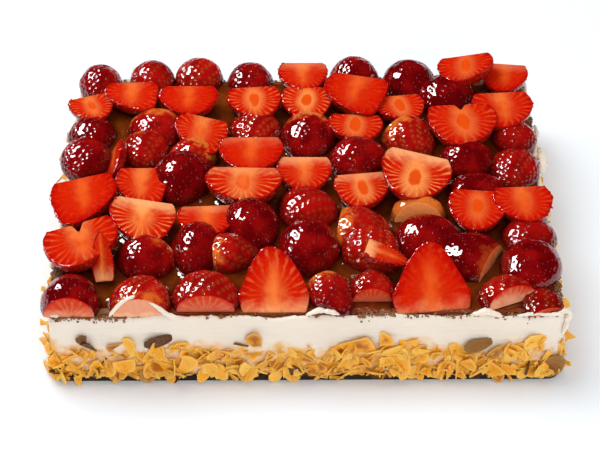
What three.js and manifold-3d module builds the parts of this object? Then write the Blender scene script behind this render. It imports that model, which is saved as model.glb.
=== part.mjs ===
// A rectangular strawberry tart: a sponge slab on a thin dark base, coated with
// cream round its four sides, toasted almond flakes pressed into the lower part
// of the cream, and nine columns of halved strawberries on top.
//
// Millimetres, +Z up. The origin is at the middle of the underside, +X runs along
// the long side to the right, and +Y runs from the front to the back.

import * as THREE from "three";
import { mergeVertices } from "three/addons/utils/BufferGeometryUtils.js";
import Module from "manifold-3d";

// ---- Driving dimensions ----------------------------------------------------

const TART_WIDTH = 280; // over the cream, along X
const TART_DEPTH = 218; // over the cream, along Y
const TART_TOP = 46; // top of the sponge, where the strawberries lie
const CORNER_RADIUS = 7;

const BASE_THICKNESS = 4;
const BASE_REACH = 1; // how far the dark base sticks out past the cream's face

const CREAM_THICKNESS = 4.6;
const CREAM_BOTTOM = 4.4;
const COAT_STEP = 9.5; // between stations along a side
const FIT_GAP = 0.3; // clearance between neighbouring pieces

const ALMOND_LENGTH = 14.5;
const ALMOND_WIDTH = 10;
const ALMOND_THICKNESS = 1.3;
const ALMOND_COUNT = 22; // loose flakes round the tart in one tier
const ALMOND_TIERS = [7, 14.5, 22]; // heights of the tiers
const ALMOND_SEED = 20;

const COLUMN_PITCH = 32; // from one column of strawberries to the next
const MIDDLE_COLUMN = 4;
const BERRY_SINK = 1.5; // how far a rounded back is pressed into the slab's glazed top
const WIDEST = 0.34; // where a berry is widest, as a share of its length from the trimmed end

// ---- Small helpers ---------------------------------------------------------

const { sin, cos, abs, sqrt, PI, floor, min, max, hypot } = Math;
const radians = THREE.MathUtils.degToRad;

const wasm = await Module();
wasm.setup();

// A closed geometry, moved by a matrix, as a manifold-3d solid.
function solidOf(geometry, matrix = new THREE.Matrix4()) {
  const bare = new THREE.BufferGeometry();
  bare.setAttribute("position", geometry.getAttribute("position").clone());
  bare.setIndex(geometry.index);
  bare.applyMatrix4(matrix);
  const merged = mergeVertices(bare, 1e-3);
  return new wasm.Manifold(
    new wasm.Mesh({
      numProp: 3,
      vertProperties: merged.attributes.position.array,
      triVerts: new Uint32Array(merged.index.array),
    }),
  );
}

// A manifold-3d solid as a geometry, in the frame that the inverse matrix gives.
function geometryOf(solid, inverse = new THREE.Matrix4()) {
  const mesh = solid.getMesh();
  const geometry = new THREE.BufferGeometry();
  geometry.setAttribute(
    "position",
    new THREE.BufferAttribute(new Float32Array(mesh.vertProperties), 3),
  );
  geometry.setIndex(new THREE.BufferAttribute(new Uint32Array(mesh.triVerts), 1));
  geometry.applyMatrix4(inverse);
  return geometry;
}

// The largest single body of a solid, which drops any loose scrap.
function largestBody(solid) {
  return solid.decompose().reduce((a, b) => (b.volume() > a.volume() ? b : a));
}

function boxSolid(width, depth, height, centre) {
  const box = new THREE.BoxGeometry(width, depth, height);
  return solidOf(box, new THREE.Matrix4().setPosition(...centre));
}

// A repeatable random number from 0 to 1 for piece number i and trait k.
function trait(i, k) {
  const wave = sin(i * 12.9898 + k * 78.233) * 43758.5453;
  return wave - floor(wave);
}

// A repeatable stream of random numbers from 0 to 1.
function randomStream(seed) {
  let state = seed;
  return () => {
    state = (state + 0x6d2b79f5) | 0;
    let t = Math.imul(state ^ (state >>> 15), 1 | state);
    t = (t + Math.imul(t ^ (t >>> 7), 61 | t)) ^ t;
    return ((t ^ (t >>> 14)) >>> 0) / 4294967296;
  };
}

function material(color, roughness) {
  return new THREE.MeshStandardMaterial({ color, roughness, metalness: 0 });
}

function namedMesh(name, geometry, surface) {
  const mesh = new THREE.Mesh(geometry, surface);
  mesh.name = name;
  return mesh;
}

// ---- Slab: dark base, sponge and cream coat ---------------------------------

// The slab's outline, moved in from the cream's outer face, or out where inset is negative.
function slabOutline(inset) {
  const x = TART_WIDTH / 2 - inset;
  const y = TART_DEPTH / 2 - inset;
  const r = max(CORNER_RADIUS - inset, 1.5);
  const outline = new THREE.Shape();
  outline.absarc(x - r, y - r, r, 0, PI / 2);
  outline.absarc(r - x, y - r, r, PI / 2, PI);
  outline.absarc(r - x, r - y, r, PI, 1.5 * PI);
  outline.absarc(x - r, r - y, r, 1.5 * PI, 2 * PI);
  return outline;
}

function slabLayer(inset, bottom, top) {
  const layer = new THREE.ExtrudeGeometry(slabOutline(inset), {
    depth: top - bottom,
    bevelEnabled: false,
    curveSegments: 5,
  });
  return layer.translate(0, 0, bottom);
}

// A point on the cream's outer face and the outward direction there, at a distance along
// the tart's edge. The way round starts at the right end of the back and goes anticlockwise.
function edgePoint(distance) {
  const halfX = TART_WIDTH / 2 - CORNER_RADIUS;
  const halfY = TART_DEPTH / 2 - CORNER_RADIUS;
  const corner = (PI / 2) * CORNER_RADIUS;
  const centres = [[halfX, halfY], [-halfX, halfY], [-halfX, -halfY], [halfX, -halfY]];
  let left = distance % edgeLength();
  for (let quarter = 0; ; quarter++) {
    const side = quarter % 2 === 0 ? 2 * halfX : 2 * halfY;
    const turn = (quarter + min(left / corner, 1)) * (PI / 2);
    const out = new THREE.Vector2(cos(turn), sin(turn));
    const at = new THREE.Vector2(...centres[quarter]).addScaledVector(out, CORNER_RADIUS);
    left -= corner;
    if (left <= 0) return { at, out };
    const along = new THREE.Vector2(-out.y, out.x);
    if (left <= side) return { at: at.addScaledVector(along, left), out };
    left -= side;
  }
}

function edgeLength() {
  return 2 * (TART_WIDTH + TART_DEPTH) + (2 * PI - 8) * CORNER_RADIUS;
}

// Distances of the coat's stations: close together round a corner, evenly along a side.
function coatStations() {
  const CORNER_STEPS = 3;
  const corner = (PI / 2) * CORNER_RADIUS;
  const sides = [TART_WIDTH, TART_DEPTH, TART_WIDTH, TART_DEPTH].map((s) => s - 2 * CORNER_RADIUS);
  const distances = [];
  let start = 0;
  for (const side of sides) {
    for (let i = 0; i < CORNER_STEPS; i++) distances.push(start + (corner * i) / CORNER_STEPS);
    const steps = floor(side / COAT_STEP);
    for (let i = 0; i < steps; i++) distances.push(start + corner + (side * i) / steps);
    start += corner + side;
  }
  return distances;
}

// The coat's section, as [share of its thickness, share of its height, bumps in mm], anticlockwise
// where outwards is to the right. The bumps are the close almond layer under the loose flakes.
const COAT_SECTION = [
  [0, 0, 0],
  [0.85, 0, 0.3],
  [1.06, 0.1, 1.5],
  [1.06, 0.25, 1.7],
  [1.06, 0.4, 1.7],
  [1.0, 0.54, 1.1],
  [0.93, 0.62, 0],
  [0.88, 0.9, 0],
  [0.45, 1, 0],
  [0, 0.97, 0],
];

// Spreading with a palette knife leaves the coat wavy in its face, rim and foot.
function coatWaves(distance) {
  const a = (2 * PI * distance) / edgeLength();
  return {
    face: 0.4 * sin(5 * a + 1) + 0.3 * sin(13 * a) + 0.2 * sin(29 * a + 2),
    rim: 0.7 * sin(9 * a + 0.6) + 0.5 * sin(23 * a + 1.7) + 0.4 * sin(41 * a),
    foot: 0.8 * max(0, sin(11 * a + 2)) + 0.5 * max(0, sin(27 * a)),
  };
}

// A torus gives the closed ring of faces, and each of its points moves to its place on the coat.
function creamCoat() {
  const distances = coatStations();
  const points = COAT_SECTION.length;
  const ring = new THREE.TorusGeometry(2, 1, points, distances.length);
  const position = ring.getAttribute("position");
  const rows = distances.length + 1;
  for (let p = 0; p <= points; p++) {
    const [share, rise, bumps] = COAT_SECTION[p % points];
    for (let r = 0; r < rows; r++) {
      const station = r % distances.length;
      const { at, out } = edgePoint(distances[station]);
      const { face, rim, foot } = coatWaves(distances[station]);
      const bottom = CREAM_BOTTOM + foot;
      const inner = FIT_GAP - CREAM_THICKNESS;
      const bump = bumps * trait(station, p % points);
      const reach = share ? inner + share * (CREAM_THICKNESS + face) + bump : inner;
      const place = at.clone().addScaledVector(out, reach);
      position.setXYZ(p * rows + r, place.x, place.y, bottom + rise * (TART_TOP + rim - bottom));
    }
  }
  return solidOf(ring);
}

// ---- Almond flakes ----------------------------------------------------------

// One flake is a thin slice of an almond: an egg-shaped plate, centred, lying in XY.
function almondFlake(length, width) {
  const CORNERS = 5;
  const outline = new THREE.Shape();
  for (let i = 0; i < CORNERS; i++) {
    const turn = (2 * PI * i) / CORNERS;
    const taper = 1 - 0.22 * cos(turn);
    outline[i ? "lineTo" : "moveTo"](
      (length / 2) * cos(turn),
      (width / 2) * sin(turn) * taper,
    );
  }
  const plate = new THREE.ExtrudeGeometry(outline, {
    depth: ALMOND_THICKNESS,
    bevelEnabled: false,
  });
  return plate.translate(0, 0, -ALMOND_THICKNESS / 2);
}

// Loose flakes stand against the coat in tiers, each turned and tipped at random.
function almondFlakes() {
  const random = randomStream(ALMOND_SEED);
  const spread = (range) => (random() - 0.5) * 2 * range;
  const flakes = [];
  ALMOND_TIERS.forEach((tier, t) => {
    for (let n = 0; n < ALMOND_COUNT; n++) {
      const share = (n + t / ALMOND_TIERS.length + spread(0.3)) / ALMOND_COUNT;
      const { at, out } = edgePoint(((share + 1) % 1) * edgeLength());
      const size = 0.8 + 0.35 * random();
      const length = ALMOND_LENGTH * size;
      const tips = [spread(0.55), spread(0.4)];
      const place = at.clone().addScaledVector(out, 0.9 + 0.8 * random());
      const facing = new THREE.Matrix4().makeBasis(
        new THREE.Vector3(-out.y, out.x, 0),
        new THREE.Vector3(0, 0, 1),
        new THREE.Vector3(out.x, out.y, 0),
      );
      const turned = new THREE.Matrix4().makeRotationFromEuler(
        new THREE.Euler(...tips, random() * PI, "XYZ"),
      );
      const height = max(tier + spread(2), 0.42 * length);
      const matrix = new THREE.Matrix4()
        .makeTranslation(place.x, place.y, height)
        .multiply(facing)
        .multiply(turned);
      flakes.push(solidOf(almondFlake(length, ALMOND_WIDTH * size), matrix));
    }
  });
  return flakes;
}

// The coat with its flakes fused on, kept clear of the sponge, the dark base, the table and
// the strawberries that are pressed into its rim.
function coatWithAlmonds(pieces) {
  const ABOVE_TABLE = 0.6;
  const span = 2 * TART_WIDTH;
  const sponge = solidOf(slabLayer(CREAM_THICKNESS - FIT_GAP, -1, 2 * TART_TOP));
  const base = solidOf(slabLayer(-BASE_REACH - FIT_GAP, -1, BASE_THICKNESS + FIT_GAP));
  const table = boxSolid(span, span, span, [0, 0, ABOVE_TABLE - span / 2]);
  const fused = almondFlakes().reduce((coat, flake) => coat.add(flake), creamCoat());
  const pressed = pieces.filter(({ piece }) => {
    const beyondX = abs(piece.x) + piece.width > TART_WIDTH / 2 - CREAM_THICKNESS;
    const beyondY = abs(piece.y) + piece.width > TART_DEPTH / 2 - CREAM_THICKNESS;
    return beyondX || beyondY;
  });
  const clear = fused.subtract(sponge).subtract(base).subtract(table);
  return largestBody(pressed.reduce((coat, { room }) => coat.subtract(room), clear));
}

// ---- Strawberries -----------------------------------------------------------

// How a piece lies: a half skin up on its cut face, a half cut face up on its skin, or a
// quarter on its skin, with its two cut faces meeting in a ridge on top.
const SKIN = "skin";
const FACE = "face";
const QUARTER = "quarter";

// The columns from left to right, and in each the pieces from the back to the front:
// [how it lies, X from the column's line, Y, width, length, turn], and where they matter
// { tip, roll, lift, lean, blunt, thick, on }. X and Y are where the piece is widest. Turn is
// the way the pointed end looks, in degrees from +X. Tip raises the pointed end and roll the
// right-hand side, in degrees. Lift raises the piece off the slab. Lean moves the pointed end
// sideways. Blunt shapes the pointed end: 1 is sharp and 2 is round. Thick is a share of half
// the width. A piece with "on" is stuck to the piece before it.
const COLUMNS = [
  [
    [SKIN, 2, 99, 27, 26, -90, { thick: 1.02 }],
    [FACE, -1, 69, 27, 24, -71, { thick: 0.85 }],
    [SKIN, 1, 47, 30, 26, -90, { on: true, thick: 0.82 }],
    [SKIN, -1, 24, 31, 28, -100, {}],
    [FACE, 2, -19, 38, 38, -80, { lean: -8, roll: 7 }],
    [FACE, 4, -59, 42, 33, -75, { lean: -5, roll: 8, blunt: 2 }],
    [QUARTER, 17.8, -79.4, 17.5, 27, 97, { tip: 42, lift: 4, on: true }],
    [SKIN, 1, -98, 33, 28, 90, { thick: 1.05 }],
  ],
  [
    [SKIN, 2, 102, 29, 27, -90, { thick: 1 }],
    [FACE, -9, 79, 33, 28, -88, { lean: 9 }],
    [SKIN, 8, 52.5, 36, 28, -90, { on: true, thick: 0.78 }],
    [FACE, -16, 20.5, 19, 27, -90, { roll: 60, blunt: 1.8 }],
    [SKIN, 2, 32, 30, 26, -80, { on: true }],
    [FACE, 2, -5, 30, 34, -90, { lean: 6 }],
    [FACE, 5, -38, 38, 35, -94, { lean: 4, roll: -8, blunt: 1.3 }],
    [SKIN, 8, -64, 34, 27, -120, {}],
    [SKIN, 6.5, -98, 34, 28, 90, {}],
  ],
  [
    [SKIN, -1, 104, 31, 27, -90, { thick: 0.97 }],
    [FACE, -6, 73.5, 36, 28, -90, { lean: 2 }],
    [FACE, 3, 43, 32, 32, -100, { lean: 8, roll: -9 }],
    [SKIN, -2, 26, 29, 26, -135, { on: true }],
    [SKIN, -7, 5, 37, 34, -90, { thick: 1 }],
    [FACE, 9, -38, 34, 25, -87, {}],
    [SKIN, 4, -56, 31, 32, -90, { thick: 1.08 }],
    [SKIN, 10, -94, 38, 29, 90, { thick: 0.78 }],
  ],
  [
    [SKIN, -1, 101, 29, 26, -90, {}],
    [FACE, 2, 73, 33, 30, -85, { lean: 2 }],
    [SKIN, 3, 51.5, 33, 27, -90, { on: true, thick: 0.72 }],
    [FACE, 1, 20.5, 38, 31, -90, {}],
    [FACE, -3, -10, 44, 29, -92, { lean: 3 }],
    [SKIN, 1, -39, 34, 34, -90, { thick: 1.15 }],
    [SKIN, -10.5, -60, 30, 27, 5, {}],
    [FACE, 15, -96, 38, 39, 90, { tip: 38, lift: -10, blunt: 1 }],
  ],
  [
    [FACE, 0, 100, 31, 28, -90, {}],
    [FACE, 2, 73, 31, 32, -92, { lean: 2 }],
    [SKIN, 3, 45, 35, 32, -90, { thick: 0.92 }],
    [FACE, 0, 5, 32, 30, -91, { lean: 1 }],
    [SKIN, 2, -22, 36, 28, -120, { on: true, thick: 0.78 }],
    [SKIN, 2, -56, 36, 33, -90, { thick: 1 }],
    [SKIN, 13, -91, 25, 28, -60, {}],
  ],
  [
    [SKIN, 0, 104, 31, 27, -90, { thick: 1.02 }],
    [FACE, 0, 79, 39, 37, -104, { lean: 10 }],
    [FACE, -1, 47, 33, 24, -94, { lean: 3 }],
    [SKIN, 0, 22, 36, 28, -90, { on: true }],
    [FACE, 1, -10, 32, 29, -83, { lean: -3 }],
    [SKIN, -2, -40, 35, 31, -10, { on: true, thick: 0.78 }],
    [SKIN, 5, -58, 34, 31, -60, {}],
    [FACE, 9.5, -72, 18, 25, -16, { roll: -10, lift: 9, blunt: 1.2, on: true, tip: -15 }],
    [SKIN, 4, -89, 26, 22, 90, {}],
  ],
  [
    [SKIN, 2, 100, 34, 29, -90, {}],
    [FACE, -6, 67, 31, 24, -82, { lean: 4 }],
    [SKIN, -1, 43, 34, 30, -50, { on: true, thick: 0.85 }],
    [FACE, 1, 0, 41, 41, -100, { lean: -2, roll: -9 }],
    [SKIN, 0.8, -26.5, 33, 20, 88, { on: true, thick: 0.95, tip: -20, lift: -6.5 }],
    [SKIN, 4.5, -51, 40, 31, -100, { thick: 0.88 }],
    [FACE, 3.8, -95.9, 43, 42, 97, { tip: 38, lift: -12, blunt: 0.8 }],
  ],
  [
    [FACE, 4, 96, 35, 25, -92, { lean: -4, lift: 7, roll: 11 }],
    [SKIN, -8, 82.5, 37, 30, -90, { on: true }],
    [FACE, -1, 47, 42, 38, -86, { lean: -4 }],
    [SKIN, 0, 21, 33, 26, -90, { on: true }],
    [SKIN, 4, -5.5, 34, 25, -90, { thick: 0.6 }],
    [FACE, 2, -28, 33, 34, -96, {}],
    [SKIN, -4, -64, 37, 35, 150, { thick: 0.8 }],
    [SKIN, 13, -91.5, 35, 25, 113, { thick: 0.72, tip: -18, lift: -7.3 }],
  ],
  [
    [FACE, -3, 97, 29, 28, -97, { thick: 0.9 }],
    [FACE, -7.5, 63, 37, 34, -86, { lean: -3 }],
    [SKIN, -2, 42, 28, 24, -90, { on: true }],
    [SKIN, -4, 14, 30, 28, -90, { thick: 0.82 }],
    [FACE, -4, -24, 34, 30, -87, { lean: 2 }],
    [SKIN, -2, -47, 32, 26, -90, { on: true, thick: 0.74 }],
    [SKIN, -4, -71.5, 35, 33, -110, {}],
    [SKIN, -0.2, -99, 22.5, 23, 105, { thick: 0.45 }],
  ],
];

// A whole strawberry along +Y, its trimmed end at Y = 0 and its pointed end at Y = length.
function wholeBerry({ width, length, lean, blunt, thick }) {
  const SHOULDER = 0.6; // from the widest place back to where an untrimmed berry would close
  const AROUND = 12;
  const ALONG = 7;
  const ball = new THREE.SphereGeometry(1, AROUND, ALONG);
  const position = ball.getAttribute("position");
  for (let i = 0; i < position.count; i++) {
    const x = position.getX(i);
    const along = position.getY(i);
    const z = position.getZ(i);
    const ring = hypot(x, z) || 1;
    const full = sqrt(max(0, 1 - abs(along) ** (along > 0 ? blunt : 2)));
    const radius = (full * width) / 2;
    const ahead = along > 0 ? 1 - WIDEST : SHOULDER;
    position.setXYZ(
      i,
      (radius * x) / ring + lean * max(0, along) ** 2,
      length * (WIDEST + along * ahead),
      (radius * thick * z) / ring,
    );
  }
  return ball;
}

// A half is cut lengthwise at Z = 0, a quarter at a slope on both sides of its middle, and
// both are trimmed flat at Y = 0.
function berryCut(piece) {
  const { width, length, lies } = piece;
  const deep = 2 * width;
  const kept = boxSolid(deep, 2 * length, deep, [0, length, deep / 2]);
  const half = solidOf(wholeBerry(piece)).intersect(kept);
  if (lies !== QUARTER) return half;
  return half.trimByPlane([1, 0, 1], 0).trimByPlane([-1, 0, 1], 0);
}

// Turns a piece to lie as it says, and sets it down on the slab.
function berryMatrix(piece, cut) {
  const { lies, x, y, length, turn, tip, roll, lift } = piece;
  const flip = lies === SKIN ? 0 : 180;
  const rotation = new THREE.Matrix4().makeRotationFromEuler(
    new THREE.Euler(radians(tip), radians(flip + roll), radians(turn - 90), "ZXY"),
  );
  const turned = rotation.multiply(new THREE.Matrix4().makeTranslation(0, -length * WIDEST, 0));
  const lowest = cut.transform(turned.elements).boundingBox().min[2];
  const sink = lies === SKIN ? -FIT_GAP : BERRY_SINK;
  return new THREE.Matrix4()
    .makeTranslation(x, y, TART_TOP - sink - lowest + lift)
    .multiply(turned);
}

function berryPieces() {
  const DEFAULTS = { tip: 0, roll: 0, lift: 0, blunt: 1.5, on: false };
  const THICK = { [FACE]: 0.8, [SKIN]: 0.92, [QUARTER]: 0.9 };
  const pieces = [];
  COLUMNS.forEach((column, c) => {
    column.forEach(([lies, across, y, width, length, turn, extra], r) => {
      const x = (c - MIDDLE_COLUMN) * COLUMN_PITCH + across;
      const lean = (trait(10 * c + r, 1) - 0.5) * 0.12 * width;
      const size = { width, length, lean, thick: THICK[lies] };
      const piece = { ...DEFAULTS, ...size, lies, x, y, turn, ...extra };
      piece.node = piece.on ? pieces.at(-1).node : `${c + 1}_${r + 1}`;
      pieces.push(piece);
    });
  });
  return pieces;
}

// The solid grown by about a gap on every side, by scaling it about its middle.
function grown(solid, gap) {
  const { min: low, max: high } = solid.boundingBox();
  const middle = low.map((v, k) => (v + high[k]) / 2);
  const scale = low.map((v, k) => 1 + (2.4 * gap) / (high[k] - v));
  const matrix = new THREE.Matrix4()
    .makeTranslation(...middle)
    .multiply(new THREE.Matrix4().makeScale(...scale))
    .multiply(new THREE.Matrix4().makeTranslation(...middle.map((v) => -v)));
  return solid.transform(matrix.elements);
}

// Cut faces show whole, so they are set first, then quarters, then skins, each from the front.
// Each piece gives way to those set before it, apart from one that it is stuck to.
function setPieces() {
  const FIRST = { [FACE]: 0, [QUARTER]: 1, [SKIN]: 2 };
  const REACH = 60; // pieces further apart than this can't touch
  const foot = TART_TOP + FIT_GAP;
  const above = boxSolid(2 * TART_WIDTH, 2 * TART_WIDTH, 200, [0, 0, foot + 100]);
  const ordered = berryPieces().sort((a, b) => FIRST[a.lies] - FIRST[b.lies] || a.y - b.y);
  const laid = [];
  for (const piece of ordered) {
    const cut = berryCut(piece);
    const matrix = berryMatrix(piece, cut);
    const whole = cut.transform(matrix.elements).intersect(above);
    let solid = whole;
    for (const other of laid) {
      const apart = hypot(other.piece.x - piece.x, other.piece.y - piece.y) > REACH;
      if (!apart && other.piece.node !== piece.node) solid = solid.subtract(other.room);
    }
    laid.push({ piece, matrix, solid: largestBody(solid), room: grown(whole, FIT_GAP) });
  }
  return laid;
}

// One mesh for each piece, or for each pair that is stuck together.
function strawberries(pieces, surface) {
  const nodes = new Map();
  for (const part of pieces) {
    nodes.set(part.piece.node, [...(nodes.get(part.piece.node) ?? []), part]);
  }
  const meshes = [...nodes].map(([node, parts]) => {
    const { matrix } = parts[0];
    const solid = parts.map((part) => part.solid).reduce((a, b) => a.add(b));
    const name = parts.length > 1 ? `strawberry_pair_${node}` : `strawberry_${node}`;
    if (solid.decompose().length > 1) throw new Error(`${name} has come apart`);
    const mesh = namedMesh(name, geometryOf(solid, matrix.clone().invert()), surface);
    matrix.decompose(mesh.position, mesh.quaternion, mesh.scale);
    return mesh;
  });
  return meshes.sort((a, b) => a.name.localeCompare(b.name));
}

// ---- The tart ---------------------------------------------------------------

const tart = new THREE.Group();
const pieces = setPieces();

const slab = new THREE.Group();
slab.add(namedMesh("dark_base", slabLayer(-BASE_REACH, 0, BASE_THICKNESS), material(0x241c18, 0.7)));
slab.add(
  namedMesh(
    "sponge_slab",
    slabLayer(CREAM_THICKNESS, BASE_THICKNESS, TART_TOP),
    material(0xa5672f, 0.75),
  ),
);
slab.add(namedMesh("cream_coat", geometryOf(coatWithAlmonds(pieces)), material(0xefe8dc, 0.5)));
tart.add(slab);

const topping = new THREE.Group();
topping.add(...strawberries(pieces, material(0xb3121a, 0.25)));
tart.add(topping);

export default tart;
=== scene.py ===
"""The looks of a rectangular strawberry tart, built around its solids.

A sponge slab stands on a thin dark base. Cream coats its four sides, toasted almond flakes
are pressed into the cream's lower part, and glazed halved strawberries lie on top in nine
columns. Meshes are worked out in millimetres, with the tart's own axes: +X along the long
side to the right, +Y from the front to the back, +Z up. Adding a piece scales it to metres.
"""

import random
from math import ceil, cos, exp, hypot, pi, radians, sin, sqrt

import bmesh
import bpy
import numpy as np
from bpy.props import FloatProperty, FloatVectorProperty, IntProperty, PointerProperty
from mathutils import Matrix, Vector, noise
from mathutils.kdtree import KDTree


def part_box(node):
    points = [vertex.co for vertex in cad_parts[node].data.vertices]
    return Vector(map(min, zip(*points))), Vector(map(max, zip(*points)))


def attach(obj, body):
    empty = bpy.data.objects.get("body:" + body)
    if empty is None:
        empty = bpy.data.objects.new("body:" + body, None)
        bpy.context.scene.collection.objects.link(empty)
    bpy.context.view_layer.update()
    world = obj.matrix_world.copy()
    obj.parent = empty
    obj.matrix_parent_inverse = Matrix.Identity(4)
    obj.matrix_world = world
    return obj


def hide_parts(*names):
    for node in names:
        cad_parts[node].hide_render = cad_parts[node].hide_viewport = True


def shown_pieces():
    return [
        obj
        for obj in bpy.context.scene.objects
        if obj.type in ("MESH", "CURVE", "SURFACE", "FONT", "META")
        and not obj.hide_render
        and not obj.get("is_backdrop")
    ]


bl_info = {
    "name": "Strawberry Tart",
    "version": (1, 0, 0),
    "blender": (4, 5, 0),
    "location": "View3D > Sidebar > Tart",
    "description": "Dresses a rectangular strawberry tart with fruit, glaze, cream and almonds",
    "category": "Object",
}

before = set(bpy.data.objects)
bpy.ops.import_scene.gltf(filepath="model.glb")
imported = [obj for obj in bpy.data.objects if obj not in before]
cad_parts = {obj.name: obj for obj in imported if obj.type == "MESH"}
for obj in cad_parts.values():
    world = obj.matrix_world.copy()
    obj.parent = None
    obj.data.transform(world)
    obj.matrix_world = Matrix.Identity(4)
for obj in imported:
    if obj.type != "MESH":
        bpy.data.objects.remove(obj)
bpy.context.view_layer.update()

# ---- Sizes of the solids, in millimetres -------------------------------------

MM = 0.001
ROOT = "root"

BASE_LOW, BASE_HIGH = (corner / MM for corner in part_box("dark_base"))
SPONGE_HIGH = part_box("sponge_slab")[1] / MM

BASE_REACH = 1.0
TART_WIDTH = BASE_HIGH.x - BASE_LOW.x - 2 * BASE_REACH
TART_DEPTH = BASE_HIGH.y - BASE_LOW.y - 2 * BASE_REACH
TART_TOP = SPONGE_HIGH.z
CORNER_RADIUS = 7.0
CORNER_WAY = pi / 2 * CORNER_RADIUS
FRONT_WAY = TART_WIDTH - 2 * CORNER_RADIUS
SIDE_WAY = TART_DEPTH - 2 * CORNER_RADIUS
EDGE_LENGTH = 2 * (FRONT_WAY + SIDE_WAY) + 4 * CORNER_WAY

CREAM_THICKNESS = 4.6
CREAM_BOTTOM = 4.4
FIT_GAP = 0.3

ALMOND_LENGTH = 14.5
ALMOND_WIDTH = 10.0
ALMOND_THICKNESS = 1.3
ALMOND_COUNT = 22
ALMOND_TIERS = (7.0, 14.5, 22.0)
ALMOND_SEED = 20
TABLE_GAP = 0.3

COLUMN_PITCH = 32.0
MIDDLE_COLUMN = 4
BERRY_SINK = 1.5
WIDEST = 0.34
SHOULDER = 0.6

# How a piece lies: a half skin up, a half cut face up, or a quarter with its ridge on top.
SKIN = "skin"
FACE = "face"
QUARTER = "quarter"

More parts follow.
